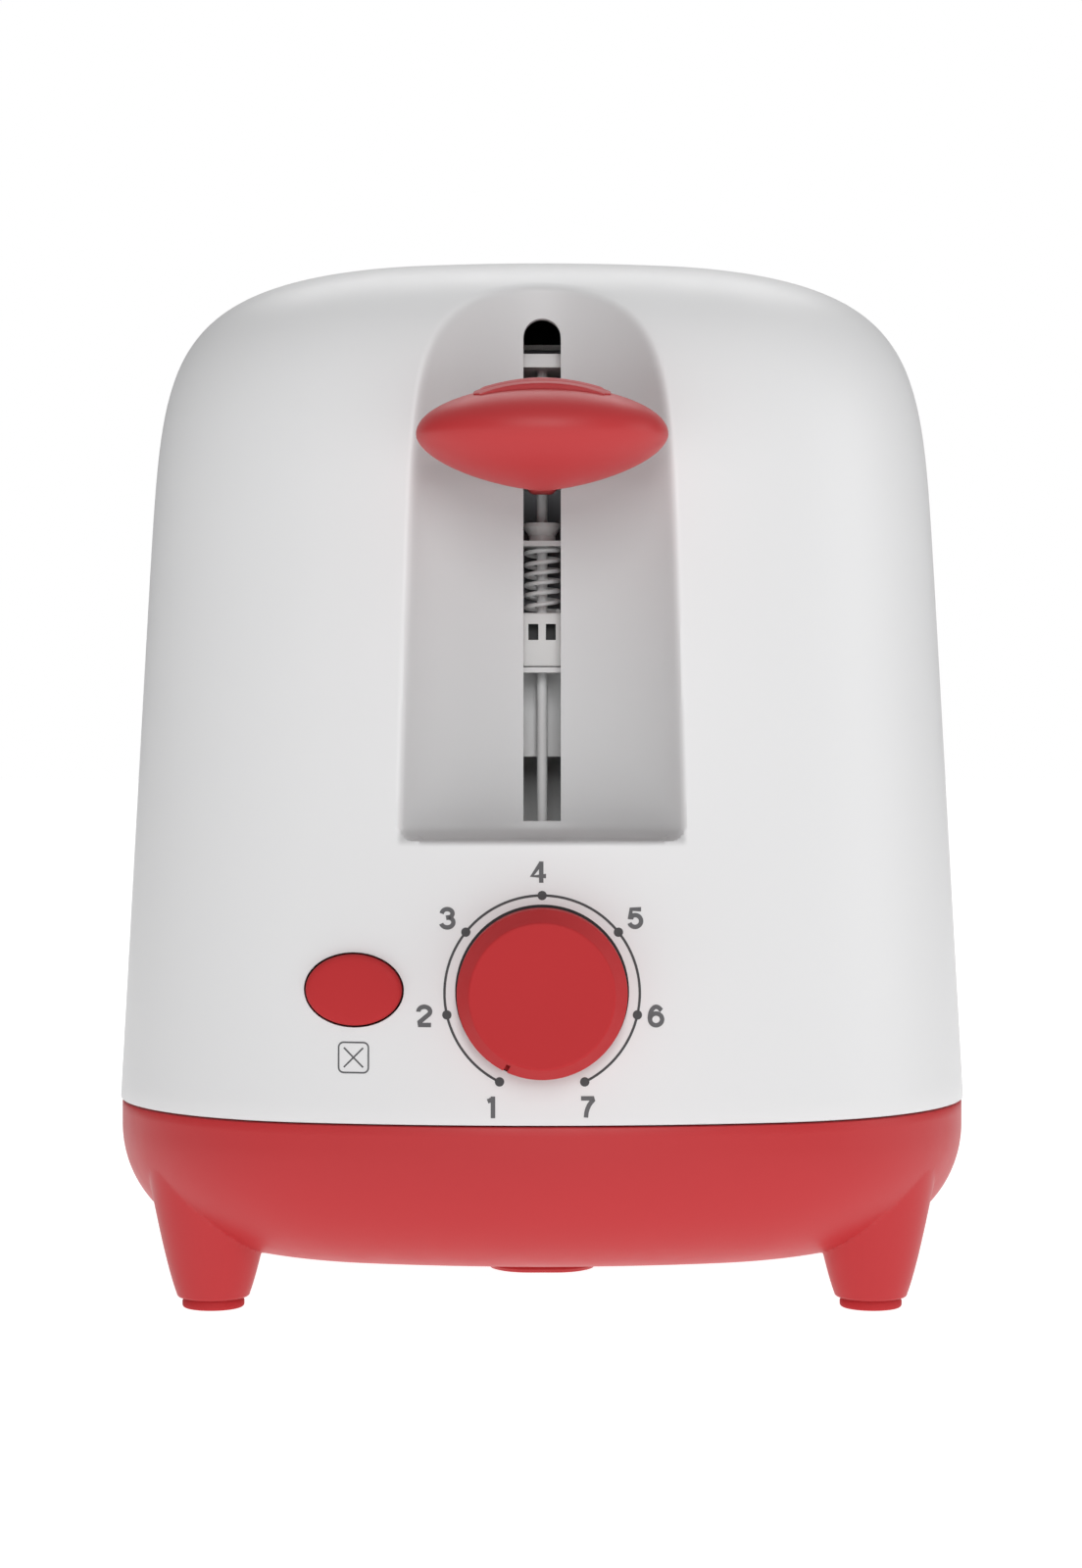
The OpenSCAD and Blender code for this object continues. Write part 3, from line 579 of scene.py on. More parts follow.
def shell_rings(plan, thick, z_start, fine):
    """Rings of the shell's outer skin (thick 0) or of its cavity, with the lever recess pressed in."""
    floor_z = SCOOP_Z - thick
    full_r = SCOOP_R + thick
    lip, foot = 1.0, 3.0 + thick
    soft = 1.3
    low, high = floor_z - lip - 0.2, floor_z + foot + 0.2

    def radius_at(z):
        rise = np.clip(z - floor_z, 0, foot)
        return full_r - foot + np.sqrt(foot * foot - (foot - rise) ** 2)

    rings = []
    if thick == 0:
        rings += [ring(plan, inset, z) for inset, z in quarter_round(0, z_start, EDGE_R, 4)[:-1]]
        z_start += EDGE_R
    for z in np.arange(z_start, low - 1, 3.0 * fine):
        rings.append(ring(plan, wall_inset(z, thick), z))
    # Section of the ledge: rounded lip, flat floor, then the fillet up the back.
    section = [(lip * (1 - math.cos(a)), 0.0, floor_z - lip + lip * math.sin(a))
               for a in np.linspace(0, math.pi / 2, 8)]
    section += [(lip, i / 6, floor_z) for i in range(1, 7)]
    section += [(None, 1.0, floor_z + foot * (1 - math.cos(a))) for a in np.linspace(0.12, math.pi / 2, 14)]
    for j, (rise, share, z_s) in enumerate(section):
        part = j / (len(section) - 1)
        z_u = low + (high - low) * part
        base = ring(plan, wall_inset(z_u, thick), z_u)
        floor_depth = scoop_depth(base, full_r - foot, soft)
        full = smoothstep(floor_depth / 2.2)
        z = full * z_s + (1 - full) * z_u
        follow = np.zeros(len(base))
        for i in np.nonzero(z >= floor_z)[0]:
            follow[i] = scoop_depth(base[i:i + 1], radius_at(z[i]), soft)[0]
        if rise is None:
            push = follow
        else:
            push = full * (rise + share * (floor_depth - rise)) + (1 - full) * follow
        base[:, 1] += push
        base[:, 2] = z
        rings.append(base)
    levels = [(wall_inset(z, thick), z) for z in np.arange(high + 0.8, 178, 2.2 * fine)]
    share = (levels[-1][1] + 1.2 - CROWN_Z) / (TOP_Z - CROWN_Z - thick)
    first = math.asin(share ** (CROWN_POW / 2))
    angles = list(np.arange(first, math.radians(58), math.radians(0.9 * fine)))
    angles += list(np.linspace(math.radians(60), math.radians(89.2), int(16 / fine)))
    levels += [crown_level(a, thick) for a in angles]
    for inset, z in levels:
        base = ring(plan, inset, z)
        base[:, 1] += scoop_depth(base, full_r, soft)
        rings.append(base)
    return rings


def front_spacing(x, y):
    """Fine steps round the lever recess and knob, coarser ones elsewhere."""
    near = smoothstep((abs(x) - 30) / 14)
    return 0.62 + 2.2 * near if y < 0 else 3.0


def slot_outline():
    """Lever slot: square foot, round top."""
    low, high = SLOT_Z[0], SLOT_Z[1] - SLOT_HALF
    return [(-SLOT_HALF, low), (SLOT_HALF, low)] + arc(0, high, SLOT_HALF, 0, 180, 16)


def mirrored(part):
    """The same solid on the other side of the middle plane."""
    points, faces = part
    return points * np.array([-1, 1, 1]), [tuple(reversed(f)) for f in faces]


def bread_slot_cutter(surface):
    """Bread slot with rolled lips that follow the crown; surface gives its height at x, y."""
    lip = 3.6

    def opening(grow):
        return rounded_rect(WELL_W + 2 * grow, WELL_L + 2 * grow, WELL_ROUND + grow) + (WELL_X, 0)

    rings = [at_height(opening(0), 180.0)]
    for a in range(0, 85, 12):
        turn = math.radians(a)
        out = opening(lip * (1 - math.cos(turn)))
        rings.append(at_height(out, [surface(x, y) - lip + lip * math.sin(turn) for x, y in out]))
    out = opening(lip + 2)
    z = np.array([surface(x, y) for x, y in out])
    rings += [at_height(out, z + 0.12), at_height(out, z + 12)]
    return skin(rings)


def corner_posts(x, y, r, z0, z1):
    """Four round posts, one in each quarter."""
    return [prism_z(circle(sx * x, sy * y, r, 32), z0, z1) for sx in (-1, 1) for sy in (-1, 1)]


def make_shell():
    """The shell with its openings. Returns the outer skin, for marks that are printed on it."""
    outer = mesh_object("toaster_shell", *skin(shell_rings(plan_loop(front_spacing), 0, SEAM_Z, 1.0)))
    tree = BVHTree.FromObject(outer, bpy.context.evaluated_depsgraph_get())

    def crown_height(x, y):
        hit = tree.ray_cast(Vector((x * MM, (y + MID_Y) * MM, 1)), Vector((0, 0, -1)))[0]
        return hit.z / MM

    coarse = plan_loop(lambda x, y: 1.5 if y < 0 and abs(x) < 36 else 4.0)
    cavity = mesh_object("cavity", *skin(shell_rings(coarse, WALL, SEAM_Z - 2, 1.6)))
    # The cavity leaves collars round the bread slots and bosses for the base screws.
    wall = rounded_rect(WELL_W + 4, WELL_L + 4, WELL_ROUND + 2)
    collars = [prism_z(wall + (side * WELL_X, 0), 187, TOP_Z + 5) for side in (-1, 1)]
    collars += corner_posts(BOSS_X, BOSS_Y, 4.5, SEAM_Z + 1.5, 75)
    cut(cavity, joined(collars))
    cut(outer, cavity)
    well = bread_slot_cutter(crown_height)
    holes = [well, mirrored(well),
             prism_y(slot_outline(), SCOOP_Y + SCOOP_R - 3, SCOOP_Y + SCOOP_R + 6),
             prism_y(ellipse(0, KNOB_Z, 5, 5), -HALF_L - 3, -HALF_L + 8),
             prism_y(ellipse(BUTTON_X, BUTTON_Z, BUTTON_W + 0.35, BUTTON_H + 0.35),
                     -HALF_L - 3, -HALF_L + 12),
             prism_y(ellipse(GLAND_X, GLAND_Z, 7, 7), HALF_L - 12, HALF_L + 3)]
    cut(outer, joined(holes))
    cut(outer, prism_y(circle(0, POCKET_Z, POCKET_R, 120), -HALF_L - 3, POCKET_FLOOR))
    piece(outer, "housing", "shell", "shell_white", "housing_shell")

    def in_pocket(x, y, z, normal):
        reach = math.hypot(x, z - POCKET_Z)
        on_wall = abs(reach - POCKET_R) < 0.05 and y < POCKET_FLOOR + 0.01 and abs(normal.y) < 0.3
        return on_wall or (reach < POCKET_R and abs(y - POCKET_FLOOR) < 0.02)

    # The pocket's wall and floor round the knob are painted black, as painted shade in the gap.
    paint_shade_black(outer, in_pocket)
    return tree


# --- Base with its legs ---
def leg_radius(z):
    """Radius of a leg at height z, flaring upwards."""
    return 6.2 + 4.9 * max((z - 1.2) / 18.4, 0) ** 0.75


def leg_gap(c):
    """Distance in plan from a point to the nearest leg axis."""
    return math.hypot(abs(c.x) - LEG_X, abs(c.y - MID_Y) - LEG_Y)


def base_levels(inset, steps):
    """The base's quarter round, drawn in by a wall thickness."""
    return quarter_round(BASE_LIP + inset, BASE_Z + inset, BASE_ROUND - inset, steps)


def base_solid(name, plan, levels):
    return mesh_object(name, *skin([ring(plan, inset, z) for inset, z in levels]))


def make_base():
    """Red base with its four legs, tub, tray mouth, vents, screw wells and cord cleats."""
    plan = plan_loop(lambda x, y: 1.0 if abs(y) > 85 and abs(x) > 30 else 3.0)
    top = SEAM_Z - 0.3
    levels = base_levels(0, 44)
    levels += [(BASE_LIP, 36.0), (BASE_LIP, top - 0.5), (BASE_LIP + 0.15, top - 0.15), (BASE_LIP + 0.5, top)]
    base = base_solid("toaster_base", plan, levels)
    # Legs, drawn up into the rounded side of the base.
    heights = np.linspace(FOOT_H + 0.6, 26.6, 40)
    rim = leg_radius(FOOT_H + 0.6)
    profile = [(0.0001, FOOT_H), (rim - 0.6, FOOT_H), (rim - 0.3, FOOT_H + 0.08), (rim - 0.08, FOOT_H + 0.3)]
    profile += [(leg_radius(z), z) for z in heights] + [(9.0, 28.5), (0.0001, 28.5)]
    points, faces = revolve(profile, 120)
    legs = [(points + (sx * LEG_X, sy * LEG_Y, 0), faces) for sx in (-1, 1) for sy in (-1, 1)]
    cut(base, joined(legs), "UNION")
    soften_junction(base, 0.5, 2, 12, lambda c: BASE_Z - 0.8 < c.z < 30 and leg_gap(c) < 16)
    # Tub, tray mouth, vents, screw wells.
    hollow = base_levels(WALL, 12) + [(BASE_LIP + WALL, SEAM_Z + 2)]
    tub = base_solid("tub", plan_loop(lambda x, y: 5.0), hollow)
    inside = corner_posts(LEG_X, LEG_Y, 6, 5, 24) + corner_posts(BOSS_X, BOSS_Y, 5, 5, SEAM_Z + 1.5)
    inside += [boxes((x, x + 2, -85, 85, BASE_Z - 1, 36)) for x in (-58, 56)]
    cut(tub, joined(inside))
    cut(base, tub)
    holes = corner_posts(BOSS_X, BOSS_Y, 3.7, 0, 22)
    holes.append(boxes((-MOUTH_HALF, MOUTH_HALF, 100, HALF_L + 5, *MOUTH_Z)))
    for i in range(-3, 4):
        for side in (-1, 1):
            vent = rounded_rect(28, 3, 1.4, 4) + (side * 24, 14 * i)
            holes.append(prism_z(vent, BASE_Z - 1, BASE_Z + WALL + 1))
    cut(base, joined(holes))
    piece(base, "housing", "base", "base_red", "base")
    make_cleat("cord_cleat_front", 50 - HALF_L)
    make_cleat("cord_cleat_rear", HALF_L - 50)


def make_cleat(name, y):
    """Rounded tongue under the base, on a narrower neck."""
    rings = []
    # How far the outline grows, and the height, from the tongue's underside up into the base.
    for grow, z in ((-1.2, 4.8), (-0.45, 5.0), (0, 5.6), (-0.1, 6.1), (-0.6, 6.6), (-5.2, 6.7),
                    (-5.4, BASE_Z + 0.6)):
        plan = rounded_rect(21 + 2 * grow, 16 + 2 * grow, max(7.9 + grow, 1.2), 10) + (0, y)
        rings.append(at_height(plan, z))
    piece(mesh_object(name, *skin(rings)), "housing", "base", "base_red")


def make_feet():
    """Rubber feet with a peg that goes up into each leg."""
    profile = [(0.0001, 0.0), (FOOT_R - 0.7, 0.0)] + arc(FOOT_R - 0.55, 0.55, 0.55, -75, 0, 5)
    profile += [(FOOT_R, 1.2), (FOOT_R - 0.2, 1.6), (FOOT_R - 0.25, FOOT_H), (2.1, FOOT_H + 0.01),
                (2.1, FOOT_H + 4.6), (1.7, FOOT_H + 5), (0.0001, FOOT_H + 5)]
    points, faces = revolve(profile, 64)
    for name, sx, sy in (("foot_front_left", -1, -1), ("foot_front_right", 1, -1),
                         ("foot_rear_left", -1, 1), ("foot_rear_right", 1, 1)):
        foot = mesh_object("rubber_" + name, points + (sx * LEG_X, sy * LEG_Y, 0), faces)
        piece(foot, "housing", "rubber", "rubber_red", name)


# --- Lever ---
LEVER_UP, LEVER_DOWN = 8.9, 9.9
STEM_Z = 158.4
STEM_BACK = -117.0
# Powers that shape the rim above and below, and the plan.
TOP_IN, TOP_OUT = 2.1, 0.6
LOW_IN, LOW_OUT = 1.78, 0.68
PLAN_FLAT = 0.88


def lever_size(u):
    """Share of full size at height u: a rounded rim, fuller above than below."""
    return (1 - abs(u) ** (LOW_IN if u < 0 else TOP_IN)) ** (LOW_OUT if u < 0 else TOP_OUT)


def lever_ring(k, z):
    """Plan of the saucer at height z, at share k of its full size."""
    a = np.linspace(0, 2 * math.pi, 96, endpoint=False)
    x = LEVER_W * k * np.sign(np.cos(a)) * np.abs(np.cos(a)) ** PLAN_FLAT
    y = np.where(np.sin(a) < 0, LEVER_FRONT, LEVER_BACK) * k * np.sin(a)
    return at_height(np.stack([x, y + LEVER_CY], 1), z)


def lever_top(x, y):
    """Height of the saucer's upper face at x, y (y from the lever's centre)."""
    reach = LEVER_FRONT if y < 0 else LEVER_BACK
    low, high = 0.0, 1.0
    for _ in range(24):
        k = (low + high) / 2
        over = (abs(x) / (LEVER_W * k)) ** (2 / PLAN_FLAT) + (y / (reach * k)) ** 2
        low, high = (k, high) if over > 1 else (low, k)
    return LEVER_Z + LEVER_UP * (1 - min(k, 1) ** (1 / TOP_OUT)) ** (1 / TOP_IN)


def make_lever():
    """Saucer-shaped lever on a stem."""
    rings = []
    for u in np.sin(np.linspace(-math.pi / 2 + 0.03, math.pi / 2 - 0.03, 61)):
        rings.append(lever_ring(lever_size(u), LEVER_Z + u * (LEVER_UP if u > 0 else LEVER_DOWN)))
    lever = mesh_object("lever_saucer", *skin(rings))
    # Stem that goes through the slot to the carriage.
    bar = rounded_rect(5.8, 11.2, 1.6, 5) + (0, STEM_Z)
    depths = list(np.arange(LEVER_CY + 1, STEM_BACK + 0.1, 1.2)) + [STEM_BACK]
    stem = skin([np.array([(x, y, z) for x, z in bar]) for y in depths])
    cut(lever, stem, "UNION")
    soften_junction(lever, 1.8, 9, 20, lambda c: c.y - MID_Y < -134 and abs(c.x) < 7)
    piece(lever, "carriage", "control", "control_red", "lever")
    make_grip_pad()


def make_grip_pad():
    """Thin finger pad that follows the saucer, thickest in the middle, with cross ribs."""
    half_x, front, back = 12.0, -8.2, 6.0
    nx, ny = 72, 96
    top, low = [], []
    for v in np.linspace(0, 1, ny):
        y = front + (back - front) * v
        end = min(v, 1 - v)
        width = half_x * (1 - 0.1 * (1 - smoothstep(end / 0.12)))
        for u in np.linspace(-1, 1, nx):
            x = u * width
            edge = min((1 - abs(u)) * width, (back - front) * end)
            ribs = 0.11 * (1 - math.cos(v * 2 * math.pi * 9)) * smoothstep((edge - 0.9) / 0.8)
            body = 0.3 + 0.6 * (1 - u * u)
            height = body * math.sqrt(max(1 - (1 - min(edge / 0.6 + 0.35, 1)) ** 2, 0)) + ribs
            z = lever_top(x, y)
            top.append((x, y + LEVER_CY, z + height))
            low.append((x, y + LEVER_CY, z - 0.25))
    faces = []
    size = nx * ny
    for j in range(ny - 1):
        for i in range(nx - 1):
            a = j * nx + i
            faces.append((a, a + 1, a + nx + 1, a + nx))
            faces.append((a + size, a + nx + size, a + nx + 1 + size, a + 1 + size))
    rim = list(range(nx)) + [j * nx + nx - 1 for j in range(1, ny)]
    rim += [(ny - 1) * nx + i for i in range(nx - 2, -1, -1)] + [j * nx for j in range(ny - 2, 0, -1)]
    for a, b in zip(rim, rim[1:] + rim[:1]):
        faces.append((a, a + size, b + size, b))
    pad = mesh_object("lever_pad", np.array(top + low), faces)
    piece(pad, "carriage", "grip", "grip_red", "lever_grip_pad")


# --- Knob, dial and button ---
def make_knob():
    """Browning knob with a collar, a tapered side and an index notch."""
    depth = KNOB_BACK - KNOB_FRONT
    face, rim, collar = KNOB_R - 2.62, KNOB_R - 0.32, 4.4
    # Skirt in the pocket, straight collar, tapered side, then the flat face.
    profile = [(0.0001, -2), (rim - 0.4, -2), (rim - 0.05, -1.7), (rim, -1.2), (rim, 1), (rim, collar - 0.2),
               (rim - 0.03, collar + 0.1)]
    profile += [(rim - (rim - face - 0.16) * t, collar + (depth - collar - 0.3) * t)
                for t in np.linspace(0.1, 1, 10)]
    profile += [(face + 0.07, depth - 0.16), (face - 0.04, depth - 0.07), (face - 0.2, depth - 0.02),
                (face - 0.45, depth), (face * 0.6, depth), (0.0001, depth)]
    points, faces = revolve(profile, 144)
    turned = np.stack([points[:, 0], KNOB_BACK - points[:, 2], points[:, 1] + KNOB_Z], 1)
    knob = mesh_object("knob", turned, faces)
    # Index notch across the bevel, pointing at setting 1.
    notch = boxes((-0.4, 0.4, KNOB_FRONT - 1, KNOB_BACK - 0.7, face + 0.7, KNOB_R + 1))
    cut(knob, turn_about_knob(notch, -DIAL_HALF))
    piece(knob, "knob", "knob", "control_red", "browning_knob")


def turn_about_knob(part, angle):
    """A solid drawn about the knob's axis at height 0, turned and lifted to the knob."""
    points, faces = part
    c, s = math.cos(angle), math.sin(angle)
    x, z = points[:, 0], points[:, 2]
    return np.stack([x * c + z * s, points[:, 1], z * c - x * s + KNOB_Z], 1), faces


def make_button():
    """Oval cap with a flat crown and a rounded rim, on a cross-shaped stem."""
    rings = []
    front = BUTTON_LO[1] - MID_Y
    stem_front, stem_back = front + 6.3, -129
    slope = BUTTON_X / FACE_R
    # Share of full size and depth behind the crest; the cap leans with the shell's bowed face.
    for k, push in [(0.0001, 0), (0.2, 0.02), (0.4, 0.07), (0.6, 0.16), (0.75, 0.26), (0.86, 0.37),
                    (0.93, 0.52), (0.97, 0.75), (0.99, 1.05), (1.0, 1.5), (1.0, 6.4)]:
        x, z = ellipse(0, 0, BUTTON_W * k, BUTTON_H * k, 72).T
        rings.append(np.stack([x + BUTTON_X, front + push + x * slope * (push < 3), z + BUTTON_Z], 1))
    body = skin(rings)
    rib = boxes(*[(BUTTON_X + x0, BUTTON_X + x1, stem_front, stem_back, BUTTON_Z - z, BUTTON_Z + z)
                  for x0, x1, z in ((-1, 1, 4), (-4, -1, 1), (1, 4, 1))])
    piece(mesh_object("cancel_cap", *joined([body, rib])), "button", "knob", "control_red", "cancel_button")


def on_front(tree, parts, name, ink):
    """Thin printed marks: x, z outlines laid on the shell's front face."""
    solids = []
    for outline_points, faces in parts:
        flat = np.asarray(outline_points, float)
        count = len(flat)
        front, back = [], []
        for x, z in flat:
            hit = tree.ray_cast(Vector((x * MM, -1, z * MM)), Vector((0, 1, 0)))[0]
            y = hit.y / MM - MID_Y
            front.append((x, y - 0.05, z))
            back.append((x, y + 0.08, z))
        all_faces = [tuple(f) for f in faces] + [tuple(i + count for i in reversed(f)) for f in faces]
        edges = {}
        for f in faces:
            for a, b in zip(f, list(f[1:]) + [f[0]]):
                edges[(a, b)] = edges.get((a, b), 0) + 1
        for a, b in edges:
            if (b, a) not in edges:
                all_faces.append((b, a, a + count, b + count))
        solids.append((np.array(front + back), all_faces))
    piece(mesh_object(name, *joined(solids)), "housing", ink, "black_plastic")


def stroke(points, width, closed=False):
    """A ribbon of quads along a line of x, z points."""
    points = np.asarray(points, float)
    if closed:
        ahead, behind = np.roll(points, -1, 0), np.roll(points, 1, 0)
    else:
        ahead, behind = np.vstack([points[1:], points[-1]]), np.vstack([points[0], points[:-1]])
    along = ahead - behind
    along /= np.linalg.norm(along, axis=1)[:, None]
    side = np.stack([-along[:, 1], along[:, 0]], 1) * width / 2
    count = len(points)
    both = np.concatenate([points + side, points - side])
    faces = [(i, i + count, (i + 1) % count + count, (i + 1) % count)
             for i in range(count if closed else count - 1)]
    return both, faces


def curve_points(pieces):
    """Joins points and arcs (cx, cz, rx, rz, start, end in degrees) into one line."""
    points = []
    for item in pieces:
        if len(item) == 2:
            points.append(item)
        else:
            cx, cz, rx, rz, a0, a1 = item
            steps = max(3, int(abs(a1 - a0) / 12))
            points += [(cx + rx * x, cz + rz * z) for x, z in arc(0, 0, 1, a0, a1, steps)]
    return points


# Centre lines of plain bold figures in a cell 2 wide and 3.3 high, about its middle: the points
# and arcs of each line, as curve_points() takes them.
FIGURES = {
    1: [[(-0.62, 0.92), (-0.2, 1.06), (0.0, 1.3)], [(0.2, 1.65), (0.2, -1.65)]],
    2: [[(-0.9, 0.62), (0, 0.68, 0.9, 0.72, 175, -35), (-0.85, -1.05), (-0.88, -1.38), (1.05, -1.38)]],
    3: [[(-0.88, 0.72), (-0.02, 0.74, 0.82, 0.66, 165, -75), (-0.18, 0.06)],
        [(-0.18, 0.06), (-0.02, -0.62, 0.95, 0.78, 80, -165)]],
    4: [[(0.42, 1.4), (-1.0, -0.62), (1.15, -0.62)], [(0.42, 1.62), (0.42, -1.65)]],
    5: [[(0.9, 1.38), (-0.62, 1.38), (-0.82, -0.12), (-0.6, 0.0), (-0.02, -0.42, 0.92, 0.9, 120, -160)]],
    6: [[(0.85, 0.85), (0.02, 0.3, 0.82, 1.1, 40, 110), (-0.02, -0.35, 0.95, 1.75, 125, 180),
         (0, -0.52, 0.93, 0.9, 180, 530)]],
    7: [[(-1.0, 1.38), (0.92, 1.38), (0.9, 1.15), (1.6, -1.65, 1.85, 2.95, 125, 178)]],
}
# Optical centring of single figures, in millimetres.
FIGURE_NUDGE = {1: (0.6, 0), 2: (0, 1.2), 4: (-0.3, 0), 5: (0.4, 0), 6: (0, 1.2), 7: (-0.8, 0)}


def make_dial(tree):
    """Scale ring with dots and figures round the knob, and the cancel icon under the button."""
    line_r, dot_r = 17.5, 0.84
    # Figures stand on an oval about the knob, a little lower and to the left.
    oval_x, oval_z, left, lower = 21.3, 22.1, 0.35, 0.6
    angles = np.linspace(-DIAL_HALF, DIAL_HALF, 120)
    marks = [stroke([(line_r * math.sin(a), DIAL_Z + line_r * math.cos(a)) for a in angles], 0.45)]
    figures = []
    for number, lines in FIGURES.items():
        a = -DIAL_HALF + 2 * DIAL_HALF * (number - 1) / 6
        dot = circle(line_r * math.sin(a), DIAL_Z + line_r * math.cos(a), dot_r, 28)
        marks.append((dot, [tuple(range(28))]))
        nudge = FIGURE_NUDGE.get(number, (0, 0))
        middle = (oval_x * math.sin(a) - left + nudge[0], KNOB_Z - lower + oval_z * math.cos(a) + nudge[1])
        figures += [stroke(np.array(curve_points(line)) * 1.17 + middle, 0.8) for line in lines]
    on_front(tree, marks, "dial_ring", "dark_print")
    on_front(tree, figures, "dial_print", "print")
    # Cancel icon: a cross in a rounded square.
    z, arm, line = BUTTON_Z - 12.1, 1.75, 0.3
    icon = [stroke(rounded_rect(5.4, 5.4, 0.9, 6) + (BUTTON_X, z), line, closed=True)]
    for s in (-1, 1):
        bar = [(BUTTON_X - arm, z - s * arm), (BUTTON_X, z), (BUTTON_X + arm, z + s * arm)]
        icon.append(stroke(bar, line))
    on_front(tree, icon, "cancel_print", "print")


# --- Rear pieces ---
def make_tray():
    """Folded crumb pan with a tongue that holds the handle."""
    x1 = TRAY_HI[0]
    y0, y1 = TRAY_LO[1] - MID_Y, HALF_L - 20
    z0 = TRAY_LO[2]
    tray = mesh_object("tray_pan", *boxes((-x1, x1, y0, y1, z0, z0 + 8)))
    cut(tray, boxes((-x1 + 1, x1 - 1, y0 + 1, y1 - 1, z0 + 1, z0 + 9)))
    cut(tray, boxes((-24, 24, y1 - 0.5, HALF_L - 9, z0, z0 + 1.5)), "UNION")
    # Pressed stiffening beads along the floor.
    beads = []
    for i in range(-4, 5):
        middle = (i * 11, (y0 + y1) / 2)
        foot = rounded_rect(3, y1 - y0 - 30, 1.4, 6) + middle
        crest = rounded_rect(1.4, y1 - y0 - 32, 0.65, 6) + middle
        beads.append(skin([at_height(foot, z0 + 0.5), at_height(foot, z0 + 1.0), at_height(crest, z0 + 1.7)]))
    cut(tray, joined(beads), "UNION")
    bevelled(tray, 0.3, 2)
    piece(tray, "tray", "zinc", "zinc_steel", "crumb_tray")


def make_tray_handle():
    """Panel cut from the base's own surface, with a rounded pull lip."""
    plan = plan_loop(lambda x, y: 2.0 if y > 60 else 6.0)
    panel = base_solid("tray_front", plan, base_levels(0, 26) + [(BASE_LIP, SEAM_Z)])
    cut(panel, base_solid("back", plan, base_levels(3, 16) + [(BASE_LIP + 3, SEAM_Z + 3)]))
    half = MOUTH_HALF - 0.5
    window = boxes((-half, half, 100, HALF_L + 8, MOUTH_Z[0] + 0.5, MOUTH_Z[1] - 0.8))
    cut(panel, window, "INTERSECT")
    # Pull lip: how far its outline grows, and the height.
    lip = []
    for grow, z in ((-0.8, 30.5), (-0.25, 30.7), (0, 31.2), (0, 32.3), (-0.25, 32.8), (-0.8, 33.0)):
        lip.append(at_height(rounded_rect(36 + 2 * grow, 10 + 2 * grow, 3.5, 8) + (0, HALF_L - 1), z))
    cut(panel, skin(lip), "UNION")
    shelf = boxes((-24, 24, HALF_L - 9, HALF_L - 5.5, TRAY_LO[2] - 0.5, TRAY_LO[2] + 4))
    cut(panel, shelf, "UNION")
    bevelled(panel, 0.35, 3, 38)
    piece(panel, "tray", "base", "base_red", "tray_handle")


def make_gland():
    """Grommet with a bore for the cord: a closed loop of rings about the Y axis."""
    length, back = GLAND_HI[1] - GLAND_LO[1], GLAND_LO[1] - MID_Y
    profile = [(3.6, 0), (8.8, 0), (8.8, length - 9.6), (6.95, length - 9.2), (6.95, length - 3.4),
               (9.0, length - 3.3), (9.4, length - 2.9), (9.4, length - 1.6)]
    profile += arc(8.2, length - 1.2, 1.2, 0, 80, 6)
    profile += arc(4.8, length - 1.2, 1.2, 100, 180, 6) + [(3.6, length - 2)]
    segments = 72
    points = np.concatenate([at_height(circle(GLAND_X, GLAND_Z, r, segments), back + h) for r, h in profile])
    points = points[:, (0, 2, 1)]
    count = len(profile)
    faces = [(j * segments + i, j * segments + (i + 1) % segments,
              (j + 1) % count * segments + (i + 1) % segments, (j + 1) % count * segments + i)
             for j in range(count) for i in range(segments)]
    piece(mesh_object("gland", points, faces), "housing", "base", "base_red", "cord_gland")


# --- Springs ---
def coil(name, node, coil_r, wire_r, turns):
    """Round wire spring in the place of a CAD one, and the point it stands on, in metres."""
    lo, hi = node_mm(node)
    x, y, z0, z1 = (lo[0] + hi[0]) / 2, (lo[1] + hi[1]) / 2, lo[2], hi[2]
    steps, sides = turns * 28, 12
    ground = 1.2  # turns that close up at each end
    points = []
    for i in range(steps + 1):
        t = i / steps * turns
        free = smoothstep(min(t / ground, (turns - t) / ground, 1))
        rise = (t - turns / 2) / (turns / 2)
        mid = (z0 + z1) / 2 + rise * ((z1 - z0) / 2 - wire_r)
        end = z0 + wire_r + t * 2.1 * wire_r if t < turns / 2 else z1 - wire_r - (turns - t) * 2.1 * wire_r
        z = mid * free + end * (1 - free)
        a = 2 * math.pi * t
        for k in range(sides):
            b = 2 * math.pi * k / sides
            r = coil_r + wire_r * math.cos(b)
            points.append((x + r * math.cos(a), y - MID_Y + r * math.sin(a), z + wire_r * math.sin(b)))
    rings = np.array(points).reshape(steps + 1, sides, 3)
    return mesh_object(name, *skin(rings)), (x * MM, y * MM, z0 * MM)


def make_springs():
    """Buffer and return springs; the return spring keeps a mesh of its own."""
    spring = coil("buffer_coil", "buffer_spring", 3.0, 0.42, 6)[0]
    piece(spring, "carriage", "pale", "bright_steel", "buffer_spring")
    spring, foot = coil("return_coil", "return_spring", 3.0, 0.5, 15)
    piece(spring, "housing", "bright", "bright_steel", "return_spring")
    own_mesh(spring)


